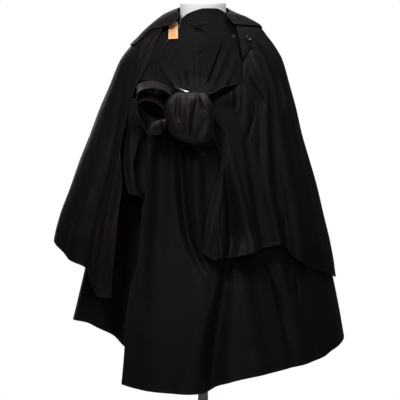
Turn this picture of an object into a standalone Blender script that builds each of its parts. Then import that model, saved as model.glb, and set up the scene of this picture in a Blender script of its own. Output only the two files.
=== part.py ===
"""Two-tier cape with a knotted scarf at the neck, on a limbless dress form with a stand.

Units are metres and +Z is up. The wearer's front faces -Y, so +X is on the right of
someone who looks at the front. The origin is the centre of the stand's underside.
Every table is in millimetres and degrees. An angle goes round the form in plan:
0 is the front, 90 the right of the picture, -90 its left and 180 the back.
"""
import math
from collections import namedtuple

import bmesh
import bpy
import numpy as np

MM = 0.001

# Driving dimensions
WALL = 2.0 * MM                 # doubled cloth of both tiers
THIN_WALL = 1.5 * MM            # neck panel, facing and scarf
SEAM_GAP = 0.5 * MM             # between two pieces that are sewn side by side
LAY_GAP = 0.4 * MM              # between a piece and the piece it lies on
SEAM_ANGLE = 100                # side seams, just behind the silhouette
TURN_REACH = 250.0              # cloth that one radian round the body spans
NORMAL_TURN = 0.004             # steps over which a surface's direction is read
NORMAL_DROP = 1.0
BASE_RADIUS = 190
BASE_EDGE = 8
BASE_CROWN = 16
POLE_RADIUS = 13
FORM_BOTTOM = 790
RING_WIRE = 1.6
BUTTON_RADIUS = 8.5

Section = namedtuple("Section", "height left right front back")
Knot = namedtuple("Knot", "x height half rise")
Front = namedtuple("Front", "x height")
Round = namedtuple("Round", "angle height")
Finish = namedtuple("Finish", "red green blue roughness metallic")

FINISHES = {
    "wool": Finish(0.016, 0.013, 0.013, 0.62, 0.0),
    "lining": Finish(0.014, 0.014, 0.018, 0.75, 0.0),
    "form_cloth": Finish(0.78, 0.78, 0.79, 0.7, 0.0),
    "steel": Finish(0.75, 0.75, 0.76, 0.18, 1.0),
    "label": Finish(0.62, 0.28, 0.13, 0.7, 0.0),
    "button": Finish(0.008, 0.008, 0.009, 0.12, 0.0),
}

# Body of each layer of cloth: half-sizes of its outer face at each height
SHORT_SECTIONS = (
    Section(1487, 60.4, 60.4, 60.4, 58.4),
    Section(1470, 96, 84, 76, 80),
    Section(1455, 117, 116, 88, 92),
    Section(1440, 134, 146, 98, 102),
    Section(1412, 162, 169, 114, 118),
    Section(1388, 188, 187, 124, 130),
    Section(1352, 215, 207, 140, 145),
    Section(1287, 242, 225, 168, 165),
    Section(1227, 268, 241, 190, 180),
    Section(1157, 294, 257, 208, 194),
    Section(1092, 320, 276, 222, 207),
    Section(1019, 346, 297, 234, 220),
    Section(949, 372, 314, 246, 232),
    Section(884, 387, 330, 258, 242),
    Section(820, 391, 342, 266, 252),
    Section(730, 393, 352, 274, 262),
)
LONG_SECTIONS = (
    Section(1365, 196, 188, 126, 128),
    Section(1300, 204, 205, 148, 145),
    Section(1250, 212, 218, 163, 158),
    Section(1157, 232, 245, 182, 178),
    Section(1092, 246, 262, 196, 190),
    Section(1019, 262, 282, 207, 203),
    Section(949, 278, 301, 218, 215),
    Section(884, 292, 318, 229, 226),
    Section(811, 307, 334, 245, 238),
    Section(733, 325, 350, 262, 250),
    Section(678, 338, 360, 274, 258),
    Section(632, 346, 367, 282, 264),
    Section(560, 350, 372, 292, 270),
    Section(486, 352, 374, 300, 276),
)
UNDER_FRONT = (
    # the long tier's left front lies this far forward, under the front panel
    (1365, 114), (1250, 134), (1157, 152), (1019, 174), (884, 192), (733, 214), (560, 240),
)
NECK_SECTIONS = (
    Section(1487, 66, 66, 67, 66),
    Section(1470, 71, 72, 73, 66),
    Section(1455, 80, 84, 80, 66),
    Section(1430, 106, 116, 92, 66),
    Section(1412, 136, 140, 101, 66),
    Section(1388, 168, 162, 112, 66),
    Section(1352, 200, 184, 127, 66),
    Section(1305, 225, 204, 149, 66),
    Section(1270, 238, 214, 166, 66),
    Section(1240, 244, 220, 180, 66),
)

# Folds that show from the front: each runs down through its knots
SHORT_FOLDS = {
    "left_edge_ridge": (
        Knot(-175, 1300, 12, 0), Knot(-196, 1180, 14, 7), Knot(-222, 1053, 16, 12),
        Knot(-250, 900, 20, 16), Knot(-268, 770, 22, 16)),
    "left_valley": (
        Knot(-205, 1320, 12, 0), Knot(-240, 1130, 16, -4), Knot(-268, 980, 18, -7),
        Knot(-308, 820, 22, -8)),
    "left_side_ridge": (
        Knot(-240, 1270, 14, 0), Knot(-290, 1030, 20, 6), Knot(-335, 870, 26, 8)),
    "shoulder_tuck_left": (
        Knot(-140, 1420, 8, 0), Knot(-154, 1385, 8, 5), Knot(-166, 1350, 9, 4),
        Knot(-180, 1300, 9, 0)),
    "drape_edge_valley": (
        Knot(54, 1130, 8, 0), Knot(56, 1053, 14, -7), Knot(64, 949, 20, -14),
        Knot(66, 850, 24, -15)),
    "drape_edge_ridge": (
        Knot(38, 990, 6, 0), Knot(40, 923, 9, 6), Knot(46, 850, 12, 10)),
    "drape_first_ridge": (
        Knot(66, 1150, 10, 0), Knot(82, 1053, 16, 8), Knot(100, 975, 20, 14),
        Knot(122, 870, 24, 18)),
    "drape_second_valley": (
        Knot(100, 1200, 12, 0), Knot(120, 1100, 18, -6), Knot(138, 1000, 22, -10),
        Knot(158, 870, 24, -12)),
    "drape_second_ridge": (
        Knot(120, 1385, 12, 0), Knot(138, 1320, 20, 8), Knot(158, 1235, 18, 10),
        Knot(164, 1040, 16, 12), Knot(192, 880, 18, 16)),
    "drape_third_valley": (
        Knot(160, 1290, 8, 0), Knot(176, 1210, 11, -6), Knot(190, 1050, 14, -10),
        Knot(212, 870, 16, -11)),
    "drape_third_ridge": (
        Knot(146, 1400, 8, 0), Knot(184, 1260, 12, 7), Knot(212, 1080, 14, 9),
        Knot(240, 930, 18, 10), Knot(262, 810, 20, 6)),
    "drape_side_valley": (
        Knot(158, 1390, 7, 0), Knot(196, 1290, 9, -5), Knot(226, 1130, 10, -5),
        Knot(258, 960, 10, 0)),
    "drape_side_ridge": (
        Knot(180, 1370, 9, 0), Knot(222, 1222, 12, 4), Knot(272, 1000, 16, 5),
        Knot(310, 820, 18, 3)),
}
LONG_FOLDS = {
    "left_panel": (
        Knot(-112, 1180, 22, 0), Knot(-116, 1060, 30, 8), Knot(-118, 900, 36, 8),
        Knot(-125, 700, 44, 5), Knot(-130, 490, 50, 4)),
    "diagonal_valley": (
        Knot(-84, 1150, 10, 0), Knot(-68, 1040, 13, -8), Knot(-46, 910, 14, -9),
        Knot(-8, 815, 12, -5), Knot(14, 770, 12, 0)),
    "middle_panel": (
        Knot(-29, 1160, 20, 0), Knot(-28, 1060, 26, 8), Knot(-20, 920, 24, 7),
        Knot(0, 820, 18, 0)),
    "centre_ridge": (
        Knot(10, 830, 14, 0), Knot(12, 740, 18, 7), Knot(4, 600, 24, 10),
        Knot(-10, 490, 28, 12)),
    "deep_valley": (
        Knot(38, 850, 14, 0), Knot(42, 760, 20, -10), Knot(50, 640, 28, -22),
        Knot(44, 500, 34, -32)),
    "right_panel": (
        Knot(105, 840, 26, 0), Knot(110, 740, 36, 8), Knot(124, 620, 44, 12),
        Knot(140, 530, 50, 14)),
    "short_dark_fold": (
        Knot(172, 830, 8, 0), Knot(182, 780, 9, -6), Knot(204, 700, 12, -9),
        Knot(228, 600, 16, -6)),
    "short_ridge": (
        Knot(192, 870, 8, 0), Knot(208, 780, 12, 7), Knot(232, 690, 14, 8),
        Knot(258, 590, 20, 6)),
    "side_panel": (
        Knot(276, 880, 18, 0), Knot(284, 780, 26, 3), Knot(302, 640, 30, 6),
        Knot(306, 570, 32, 6)),
}
NECK_FOLDS = {
    "long_crease": (
        Knot(52, 1396, 5, 0), Knot(40, 1370, 6, -3), Knot(12, 1290, 7, -6), Knot(4, 1262, 7, -7)),
    "long_crease_lip": (
        Knot(64, 1390, 6, 0), Knot(52, 1360, 7, 3), Knot(24, 1290, 7, 4), Knot(16, 1262, 6, 3)),
    "short_crease": (
        Knot(-42, 1335, 5, 0), Knot(-41, 1300, 6, -5), Knot(-36, 1262, 6, -6)),
    "left_pleat": (
        Knot(-110, 1340, 14, 0), Knot(-84, 1300, 12, 4), Knot(-62, 1268, 10, 7)),
    "middle_pleat": (
        Knot(-20, 1420, 16, 0), Knot(-16, 1340, 14, 5), Knot(-16, 1262, 10, 6)),
    "high_hollow": (
        Knot(-34, 1440, 14, 0), Knot(-10, 1425, 20, -5), Knot(8, 1400, 14, 0)),
    "right_pleat": (
        Knot(84, 1370, 8, 0), Knot(74, 1330, 9, 5), Knot(46, 1268, 9, 7)),
}
TAIL_FOLDS = {
    "hollow": (Knot(-165, 1200, 10, 0), Knot(-167, 1120, 18, -8), Knot(-170, 1040, 16, 0)),
}
NO_FOLDS = {}

# Soft folds of the hidden back, even but not equal
BACK_FOLD_ANGLES = (112, 131, 150, 171, 192, 213, 232, 249)
BACK_FOLD_SIZES = (0.7, 1.0, 0.8, 1.0, 0.75, 1.0, 0.85, 0.7)
BACK_FOLD_HALF = 11
SHORT_BACK_RISE = 15
LONG_BACK_RISE = 17

# Grid of the back: the long tier is sewn under it along the yoke level
BACK_COLUMNS = 30
SHORT_ROWS = 16
YOKE_ROW = 4
DRAPE_COLUMNS = 35
ROLL_COLUMNS = 30
ROLL_RISE = 5
UNDER_COLUMNS = 10
TURN_BACK_ROW = 6
TURN_BACK_DROP = 9
LONG_ROWS = 13
LEFT_COLUMNS = 17
NECK_COLUMNS = 22
NECK_ROWS = 14
FACING_COLUMNS = 9
ROLL_ROWS = 6

# Edges of each piece, listed from the viewer's left to right and from top to bottom
SHORT_LEFT_EDGE = (
    Front(-108, 1426), Front(-117, 1409), Front(-138, 1352), Front(-159, 1313),
    Front(-177, 1274), Front(-192, 1217), Front(-204, 1157), Front(-208, 1079),
    Front(-212, 1001), Front(-226, 884), Front(-237, 767), Front(-238, 736))
SHORT_LEFT_TOP = (
    Round(-SEAM_ANGLE, 1470), Round(-80, 1468), Front(-98, 1448), Front(-108, 1426))
SHORT_LEFT_HEM = (
    Round(-SEAM_ANGLE, 889), Round(-90, 884), Front(-368, 858), Front(-351, 840),
    Front(-307, 811), Front(-291, 780), Front(-276, 754), Front(-255, 736), Front(-238, 736))
DRAPE_EDGE = (
    Front(26, 1240), Front(31, 1201), Front(47, 1175), Front(59, 1157), Front(63, 1118),
    Front(60, 1092), Front(49, 1053), Front(36, 988), Front(26, 949), Front(18, 905),
    Front(2, 850))
DRAPE_TOP = (
    Front(26, 1240), Front(57, 1272), Front(92, 1300), Front(99, 1347), Front(94, 1383),
    Front(88, 1415), Front(78, 1445), Front(70, 1466), Round(70, 1470), Round(SEAM_ANGLE, 1470))
DRAPE_HEM = (
    Front(2, 850), Front(31, 832), Front(52, 837), Front(75, 840), Front(143, 858),
    Front(174, 868), Front(200, 873), Front(218, 866), Front(231, 845), Front(278, 816),
    Round(90, 788), Round(SEAM_ANGLE, 794))
LONG_LEFT_EDGE = (
    Front(-128, 1245), Front(-138, 1200), Front(-143, 1157), Front(-148, 1066),
    Front(-156, 988), Front(-169, 832), Front(-190, 754), Front(-200, 676),
    Front(-203, 611), Front(-211, 512))
LONG_TOP = (
    Front(-128, 1245), Front(-60, 1250), Front(10, 1250), Front(80, 1258), Front(140, 1290),
    Round(70, 1330))
LONG_HEM = (
    Front(-211, 512), Front(-177, 502), Front(-138, 494), Front(-86, 489), Front(-34, 486),
    Front(0, 489), Front(23, 499), Front(36, 507), Front(70, 517), Front(122, 530),
    Front(174, 541), Front(226, 554), Front(265, 564), Front(304, 580), Front(338, 600),
    Round(90, 632), Round(SEAM_ANGLE, 637))
UNDER_TOP = (Round(290, 1310), Round(322, 1240))
UNDER_HEM = (
    Round(SEAM_ANGLE, 637), Round(140, 660), Round(180, 676), Round(240, 686), Round(270, 678),
    Round(296, 671), Round(308, 655), Round(318, 637), Round(325, 606), Round(331, 592))
UNDER_EDGE = (Round(322, 1240), Round(324, 1000), Round(328, 800), Round(331, 592))
SHORT_BACK_TOP = (Round(SEAM_ANGLE, 1470), Round(180, 1470), Round(360 - SEAM_ANGLE, 1470))
SHORT_BACK_HEM = (
    Round(SEAM_ANGLE, 794), Round(140, 850), Round(180, 880), Round(225, 892),
    Round(360 - SEAM_ANGLE, 889))
NECK_TOP_EDGE = (
    Front(-57, 1458), Front(-44, 1469), Front(-21, 1479), Front(0, 1484), Front(31, 1483),
    Front(44, 1478), Front(60, 1468))
NECK_LEFT_EDGE = (
    Front(-57, 1458), Front(-66, 1430), Front(-94, 1396), Front(-114, 1352), Front(-138, 1300))
NECK_RIGHT_EDGE = (
    Front(60, 1468), Front(90, 1424), Front(102, 1380), Front(108, 1330), Front(106, 1306))
NECK_LOWER_EDGE = (
    Front(-138, 1300), Front(-104, 1304), Front(-74, 1303), Front(-50, 1297), Front(-21, 1293.5),
    Front(10, 1290.8), Front(34, 1286.5), Front(62, 1278), Front(88, 1290), Front(106, 1306))
ROLL_TOP = (
    Round(-76, 1487), Round(-110, 1488), Round(-180, 1490), Round(-250, 1488), Round(-284, 1486))
ROLL_LOWER = (
    Front(-84, 1440), Front(-110, 1440), Front(-138, 1424), Front(-172, 1372), Round(-84, 1352),
    Round(-106, 1366), Round(-180, 1404), Round(-240, 1420), Round(-268, 1440), Front(112, 1448),
    Front(88, 1444))
ROLL_LEFT_EDGE = (Round(-76, 1487), Front(-62, 1462), Front(-84, 1440))
ROLL_RIGHT_EDGE = (Round(-284, 1486), Front(76, 1462), Front(88, 1444))
FACING_TOP = (Front(-118, 1424), Front(-60, 1446))
FACING_OUTER = (
    Front(-118, 1424), Front(-134, 1378), Front(-150, 1340), Front(-170, 1300))
FACING_INNER = (
    Front(-60, 1446), Front(-72, 1420), Front(-86, 1396), Front(-106, 1352), Front(-104, 1330),
    Front(-90, 1304), Front(-81, 1285), Front(-78, 1262))
FACING_LOWER = (
    Front(-170, 1300), Front(-150, 1298), Front(-124, 1292), Front(-98, 1276), Front(-78, 1262))
TAIL_TOP = (Front(-186, 1230), Front(-146, 1222))
TAIL_LEFT = (Front(-186, 1230), Front(-190, 1150), Front(-194, 1005))
TAIL_RIGHT = (Front(-146, 1222), Front(-150, 1150), Front(-158, 994))
TAIL_LOWER = (Front(-194, 1005), Front(-180, 1000), Front(-158, 994))
TURN_BACK_EDGE = (
    Front(54, 1118), Front(40, 1060), Front(28, 1014), Front(11, 949), Front(3, 905),
    Front(-3, 852))
LABEL_TOP = (Front(-91, 1442), Front(-68, 1446))
LABEL_LOWER = (Front(-92, 1402), Front(-68, 1404))

# Dress form, from the neck's flat top to its underside
FORM_SECTIONS = (
    Section(1500, 60, 60, 58, 58),
    Section(1478, 60, 60, 58, 58),
    Section(1455, 61, 61, 59, 59),
    Section(1440, 66, 66, 61, 61),
    Section(1425, 82, 82, 64, 66),
    Section(1405, 116, 116, 70, 74),
    Section(1385, 148, 148, 76, 82),
    Section(1362, 170, 170, 83, 90),
    Section(1335, 178, 178, 91, 96),
    Section(1300, 176, 176, 102, 101),
    Section(1255, 170, 170, 114, 103),
    Section(1215, 161, 161, 118, 102),
    Section(1165, 149, 149, 113, 97),
    Section(1110, 136, 136, 104, 90),
    Section(1060, 130, 130, 100, 87),
    Section(1010, 135, 135, 102, 93),
    Section(950, 152, 152, 108, 107),
    Section(885, 167, 167, 112, 117),
    Section(825, 170, 170, 112, 119),
    Section(FORM_BOTTOM, 166, 166, 110, 116),
)

# Bunched cloth, as levels with a centre and half-sizes, from the top downward
Level = namedtuple("Level", "height x half_x y half_y")
KNOT_LEVELS = (
    Level(1269, -22, 15, -239, 4),
    Level(1260, -23, 26, -240, 9),
    Level(1245, -28, 44, -238, 17),
    Level(1225, -33, 56, -235, 25),
    Level(1200, -35, 62, -233, 30),
    Level(1175, -34, 64, -232, 32),
    Level(1150, -30, 58, -230, 29),
    Level(1132, -26, 44, -227, 22),
    Level(1120, -22, 26, -224, 13),
)
KNOT_PLEATS = 9
KNOT_PLEAT_DEPTH = 3.5
GATHER_LEVELS = (
    Level(1300, -22, 40, -134, 5),
    Level(1292, -22, 38, -141, 6),
    Level(1278, -22, 36, -172, 13),
    Level(1268, -22, 30, -193, 13.5),
    Level(1258, -22, 26, -195, 13.5),
    Level(1248, -22, 24, -208.2, 13),
)
GATHER_PLEATS = 7
GATHER_PLEAT_DEPTH = 1.5

# Bow loop and its inner lip, as routes in the picture plane
LOOP_ROUTE = (
    Front(-74, 1243), Front(-108, 1262), Front(-140, 1272), Front(-164, 1262),
    Front(-172, 1232), Front(-164, 1192), Front(-148, 1160), Front(-130, 1152),
    Front(-112, 1163), Front(-99, 1176))
LIP_ROUTE = (
    Front(-99, 1196), Front(-108, 1222), Front(-130, 1240), Front(-156, 1241), Front(-167.6, 1232))
LOOP_FRONT = -240
TAIL_BEND = 1212                # below this height the tail sinks back by TAIL_DROP
TAIL_DROP = 12
LIP_FRONT = -240
LIP_BACK = -200

LOOP_COLUMNS = 21
LIP_COLUMNS = 10

# Ring that gathers the neck panel
RING_CENTRE = (-22, -162, 1281)
RING_HALF = 52
RING_TILT = 20
RING_LEAN = 8
RING_POINTS = 32

# Small hard pieces
BUTTON_PLACE = Front(117, 1406)
BUTTON_THICK = 4
HOOK_PLACE = Front(80, 1412)
HOOK_RADIUS = 5
HOOK_WIRE = 0.9
LABEL_THICK = 1.0 * MM


def clear_scene():
    """Remove every object that the file holds."""
    for old in list(bpy.data.objects):
        bpy.data.objects.remove(old, do_unlink=True)


def finish_material(name):
    """Return the plain material of one finish."""
    found = bpy.data.materials.get(name)
    if found:
        return found
    look = FINISHES[name]
    made = bpy.data.materials.new(name)
    made.use_nodes = True
    shader = made.node_tree.nodes["Principled BSDF"]
    shader.inputs["Base Color"].default_value = (look.red, look.green, look.blue, 1.0)
    shader.inputs["Roughness"].default_value = look.roughness
    shader.inputs["Metallic"].default_value = look.metallic
    return made


def smooth(places, values, query):
    """Read a smooth curve through values at rising places, without overshoot."""
    places = np.asarray(places, float)
    values = np.asarray(values, float)
    steps = np.diff(places)
    slopes = np.diff(values) / steps
    product = slopes[:-1] * slopes[1:]
    total = slopes[:-1] + slopes[1:]
    inner = np.where(product > 0, 2 * product / np.where(total == 0, 1, total), 0)
    tangents = np.concatenate(([slopes[0]], inner, [slopes[-1]]))
    cell = np.clip(np.searchsorted(places, query) - 1, 0, len(places) - 2)
    t = np.clip((query - places[cell]) / steps[cell], 0, 1)
    rest = 1 - t
    return (
        values[cell] * rest * rest * (1 + 2 * t)
        + values[cell + 1] * t * t * (3 - 2 * t)
        + steps[cell] * t * rest * (tangents[cell] * rest - tangents[cell + 1] * t))


def ease(value):
    """Smooth step from 0 to 1."""
    t = np.clip(value, 0, 1)
    return t * t * (3 - 2 * t)


def bump(distance):
    """Soft round bump that is 1 at distance 0 and ends at distance 1."""
    return np.where(np.abs(distance) < 1, np.cos(np.clip(distance, -1, 1) * math.pi / 2) ** 2, 0)


class Layer:
    """A layer of cloth: a body of sections with folds, read by angle and height."""

    def __init__(self, sections, folds, back_rise=0):
        self.heights = -np.array([row.height for row in sections], float)
        self.sides = np.array([row[1:] for row in sections], float)
        self.folds = folds
        self.back_rise = back_rise

    def half_sizes(self, height):
        """Half-sizes at a height: left, right, front and back."""
        return [smooth(self.heights, self.sides[:, side], -height) for side in range(4)]

    def fold_rise(self, x, height):
        """How far the front folds lift the cloth at a place in the picture plane."""
        rise = np.zeros_like(x)
        for knots in self.folds.values():
            down = [-knot.height for knot in knots]
            centre = smooth(down, [knot.x for knot in knots], -height)
            half = smooth(down, [knot.half for knot in knots], -height)
            lift = smooth(down, [knot.rise for knot in knots], -height)
            rise = rise + lift * bump((x - centre) / half)
        return rise

    def back_fold_rise(self, angle, height):
        """How far the even folds of the back lift the cloth."""
        turn = np.degrees(angle) % 360
        growth = ease((1340 - height) / 560) * self.back_rise
        rise = np.zeros_like(turn)
        for middle, size in zip(BACK_FOLD_ANGLES, BACK_FOLD_SIZES):
            rise = rise + size * bump((turn - middle) / BACK_FOLD_HALF)
        return rise * growth

    def base(self, angle, height):
        """Half-sizes that hold at an angle: across and in depth."""
        left, right, front, back = self.half_sizes(height)
        across = np.where(np.sin(angle) >= 0, right, left)
        depth = np.where(np.cos(angle) >= 0, front, back)
        return across, depth

    def point(self, angle, height):
        """Outer face at an angle (radians) and height (mm), in millimetres."""
        across, depth = self.base(angle, height)
        sine, cosine = np.sin(angle), np.cos(angle)
        out_x, out_y = sine / across, -cosine / depth
        length = np.hypot(out_x, out_y)
        shown = ease(cosine / 0.4)
        rise = self.fold_rise(across * sine, height) * shown + self.back_fold_rise(angle, height)
        x = across * sine + out_x / length * rise
        y = -depth * cosine + out_y / length * rise
        return np.stack((x, y, height + 0 * x), axis=-1)

    def normal(self, angle, height):
        """Outward direction of the outer face."""
        turn, drop = NORMAL_TURN, NORMAL_DROP
        across = self.point(angle + turn, height) - self.point(angle - turn, height)
        down = self.point(angle, height - drop) - self.point(angle, height + drop)
        out = np.cross(down, across)
        return out / np.linalg.norm(out, axis=-1, keepdims=True)

    def angle_at(self, x, height):
        """Angle (radians) of a place on the front in the picture plane."""
        left, right, _, _ = self.half_sizes(height)
        return np.arcsin(np.clip(x / np.where(x >= 0, right, left), -1, 1))

    def place(self, spot):
        """Angle (radians) and height of a spot in a table."""
        if isinstance(spot, Round):
            return math.radians(spot.angle), float(spot.height)
        return float(self.angle_at(spot.x, np.array(float(spot.height)))), float(spot.height)


class Picture:
    """The flat picture plane, for pieces that are laid out in it before they get depth."""

    def place(self, spot):
        """Place of a spot, as x and height."""
        return float(spot.x), float(spot.height)


class UnderLayer(Layer):
    """The long tier's back, which comes round the left to lie low under the front panel."""

    def base(self, angle, height):
        """Half-sizes, with the front depth of the covered left front."""
        across, depth = super().base(angle, height)
        down = [-row[0] for row in UNDER_FRONT]
        under = smooth(down, [row[1] for row in UNDER_FRONT], -height)
        return across, np.where(np.cos(angle) >= 0, under, depth)


SHORT = Layer(SHORT_SECTIONS, SHORT_FOLDS, SHORT_BACK_RISE)
LONG_FRONT = Layer(LONG_SECTIONS, LONG_FOLDS, LONG_BACK_RISE)
LONG_BACK = UnderLayer(LONG_SECTIONS, NO_FOLDS, LONG_BACK_RISE)
NECK = Layer(NECK_SECTIONS, NECK_FOLDS)
TAIL = Layer(SHORT_SECTIONS, TAIL_FOLDS)
PICTURE = Picture()


def edge(layer, spots, places):
    """Points (angle, height) at places from 0 to 1 along an edge that is listed as spots."""
    if isinstance(spots, np.ndarray):
        return spots
    turns = np.array([layer.place(spot) for spot in spots])
    reach = 1.0
    if layer is not PICTURE:
        turns[:, 0] = np.unwrap(turns[:, 0])
        reach = TURN_REACH
    legs = np.hypot(np.diff(turns[:, 0]) * reach, np.diff(turns[:, 1]))
    along = np.concatenate(([0], np.cumsum(np.maximum(legs, 1e-3))))
    query = np.asarray(places) * along[-1]
    return np.stack([smooth(along, turns[:, side], query) for side in range(2)], axis=-1)


def levels(count, crowding=1.0):
    """Rising levels from 0 to 1, closer together near 0 when crowding is above 1."""
    return np.linspace(0, 1, count) ** crowding


def patch(layer, top, lower, left, right, columns, rows):
    """Grid of (angle, height) that fills four edges: rows go down, columns to the right."""
    head, foot = edge(layer, top, columns), edge(layer, lower, columns)
    near, far = edge(layer, left, rows), edge(layer, right, rows)
    u = columns[None, :, None]
    v = rows[:, None, None]
    across = near[:, None] * (1 - u) + far[:, None] * u
    down = head[None] * (1 - v) + foot[None] * v
    corners = (
        (head[0] * (1 - u) + head[-1] * u) * (1 - v) + (foot[0] * (1 - u) + foot[-1] * u) * v)
    return across + down - corners


def inset_sides(layer, grid, left_gap, right_gap):
    """Draw a grid's first and last columns in by a seam's half gap (mm)."""
    moved = grid.copy()
    for column, gap in ((0, left_gap), (-1, -right_gap)):
        angle, height = grid[:, column, 0], grid[:, column, 1]
        across, depth = layer.base(angle, height)
        moved[:, column, 0] += gap / np.hypot(across * np.cos(angle), depth * np.sin(angle))
    return moved


def sheet_faces(layer, grid, wall, lift=0.0):
    """Outer and inner faces of cloth on a layer, lift above it; lift may vary by point."""
    angle, height = grid[..., 0], grid[..., 1]
    point = layer.point(angle, height)
    out = layer.normal(angle, height)
    raised = np.broadcast_to(np.asarray(lift, float), angle.shape)[..., None]
    outer = point + out * raised / MM
    return outer * MM, (outer - out * wall / MM) * MM


def make_object(name, mesh, material):
    """Link a finished mesh under its name and material."""
    mesh.materials.append(finish_material(material))
    made = bpy.data.objects.new(name, mesh)
    bpy.context.scene.collection.objects.link(made)
    return made


def mesh_from(name, verts, faces, sharp_angle=50):
    """Closed mesh with its faces out and round parts shaded smooth."""
    mesh = bpy.data.meshes.new(name)
    mesh.from_pydata([tuple(map(float, vert)) for vert in verts], [], faces)
    work = bmesh.new()
    work.from_mesh(mesh)
    bmesh.ops.recalc_face_normals(work, faces=work.faces)
    work.to_mesh(mesh)
    work.free()
    mesh.shade_smooth()
    mesh.set_sharp_from_angle(angle=math.radians(sharp_angle))
    return mesh


def wall(name, outer, inner, material):
    """Closed wall of cloth between two grids of points."""
    rows, columns = outer.shape[:2]
    count = rows * columns
    verts = np.concatenate((outer.reshape(-1, 3), inner.reshape(-1, 3)))
    faces = []
    for row in range(rows - 1):
        for column in range(columns - 1):
            a = row * columns + column
            quad = (a, a + 1, a + 1 + columns, a + columns)
            faces.append(quad)
            faces.append(tuple(index + count for index in reversed(quad)))
    rim = (
        [column for column in range(columns)]
        + [row * columns + columns - 1 for row in range(1, rows)]
        + [(rows - 1) * columns + column for column in range(columns - 2, -1, -1)]
        + [row * columns for row in range(rows - 2, 0, -1)])
    for here, there in zip(rim, rim[1:] + rim[:1]):
        faces.append((there, here, here + count, there + count))
    return make_object(name, mesh_from(name, verts, faces), material)


def loft(name, rings, material, sharp_angle=50):
    """Closed solid through rings of points, with a flat cap at each end."""
    count = len(rings[0])
    verts = [point for ring in rings for point in ring]
    faces = [tuple(range(count)), tuple(range(len(verts) - count, len(verts)))]
    for level in range(len(rings) - 1):
        for index in range(count):
            a = level * count + index
            b = level * count + (index + 1) % count
            faces.append((a, b, b + count, a + count))
    return make_object(name, mesh_from(name, verts, faces, sharp_angle), material)


def wire_ring(name, points, radius, material, sides=8):
    """Closed ring of round wire along points."""
    curve = bpy.data.curves.new(name, "CURVE")
    curve.dimensions = "3D"
    curve.bevel_depth = radius
    curve.bevel_resolution = sides // 2 - 2
    spline = curve.splines.new("POLY")
    spline.points.add(len(points) - 1)
    for slot, point in zip(spline.points, points):
        slot.co = (*point, 1.0)
    spline.use_cyclic_u = True
    curve.materials.append(finish_material(material))
    made = bpy.data.objects.new(name, curve)
    bpy.context.scene.collection.objects.link(made)
    return made


def build_short_tier():
    """Short tier: back, left front and draped right front. Returns the back's yoke line."""
    seam_left = (Round(-SEAM_ANGLE, 1470), Round(-SEAM_ANGLE, 1180), Round(-SEAM_ANGLE, 889))
    seam_right = (Round(SEAM_ANGLE, 1470), Round(SEAM_ANGLE, 1130), Round(SEAM_ANGLE, 794))
    back_left = tuple(Round(360 + spot.angle, spot.height) for spot in seam_left)
    gap = SEAM_GAP / MM / 2
    rows = levels(SHORT_ROWS, 1.25)

    grid = patch(
        SHORT, SHORT_LEFT_TOP, SHORT_LEFT_HEM, seam_left, SHORT_LEFT_EDGE, levels(LEFT_COLUMNS),
        rows)
    wall("short_left_front", *sheet_faces(SHORT, inset_sides(SHORT, grid, gap, 0), WALL), "wool")

    grid = patch(SHORT, DRAPE_TOP, DRAPE_HEM, DRAPE_EDGE, seam_right, levels(DRAPE_COLUMNS), rows)
    wall("short_right_front", *sheet_faces(SHORT, inset_sides(SHORT, grid, 0, gap), WALL), "wool")
    build_turn_back(grid[TURN_BACK_ROW:, 0], gap)

    grid = patch(
        SHORT, SHORT_BACK_TOP, SHORT_BACK_HEM, seam_right, back_left, levels(BACK_COLUMNS), rows)
    grid = inset_sides(SHORT, grid, gap, gap)
    wall("short_back", *sheet_faces(SHORT, grid, WALL), "wool")
    return grid[YOKE_ROW]


def build_turn_back(free_edge, gap):
    """Narrow strip that turns back from the drape's leading edge."""
    head = np.stack((SHORT.place(TURN_BACK_EDGE[0]), free_edge[0]))
    foot = np.stack((SHORT.place(TURN_BACK_EDGE[-1]), free_edge[-1]))
    across = levels(4)
    top = head[0] + (head[1] - head[0]) * across[:, None]
    lower = foot[0] + (foot[1] - foot[0]) * across[:, None]
    rows = levels(len(free_edge))
    grid = patch(SHORT, top, lower, TURN_BACK_EDGE, free_edge, across, rows)
    drop = TURN_BACK_DROP * MM * (1 - ease(across))[None, :] * ease(rows * 3)[:, None]
    wall("drape_facing", *sheet_faces(SHORT, inset_sides(SHORT, grid, 0, 4 * gap), WALL, -drop), "wool")


def build_long_tier(yoke):
    """Long tier: front panel, and the back, sewn under the short back along its yoke."""
    seam_foot = LONG_HEM[-1].height
    yoke_height = yoke[0, 1]
    seam = (Round(SEAM_ANGLE, yoke_height), Round(SEAM_ANGLE, 990), Round(SEAM_ANGLE, seam_foot))
    gap = SEAM_GAP / MM / 2
    top = LONG_TOP + (Round(SEAM_ANGLE, yoke_height),)
    rows = levels(LONG_ROWS, 1.1)
    grid = patch(LONG_FRONT, top, LONG_HEM, LONG_LEFT_EDGE, seam, levels(DRAPE_COLUMNS), rows)
    wall("long_front", *sheet_faces(LONG_FRONT, inset_sides(LONG_FRONT, grid, 0, gap), WALL), "wool")

    corner = Round(math.degrees(yoke[-1, 0]), yoke[-1, 1])
    rest = edge(LONG_BACK, (corner,) + UNDER_TOP, levels(UNDER_COLUMNS + 1))[1:]
    head = np.concatenate((yoke, rest))
    columns = levels(len(head))
    grid = patch(LONG_BACK, head, UNDER_HEM, seam, UNDER_EDGE, columns, rows)
    outer, inner = sheet_faces(LONG_BACK, inset_sides(LONG_BACK, grid, gap, 0), WALL)
    sewn_outer, sewn_inner = sheet_faces(SHORT, yoke, WALL, -(WALL + 1.5 * LAY_GAP))
    count = len(yoke)
    place = np.arange(count)
    share = (ease(place / 4) * ease((count - 1 - place) / 4))[:, None]
    outer[0, :count] += (sewn_outer - outer[0, :count]) * share
    inner[0, :count] += (sewn_inner - inner[0, :count]) * share
    wall("long_back", outer, inner, "wool")


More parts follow.
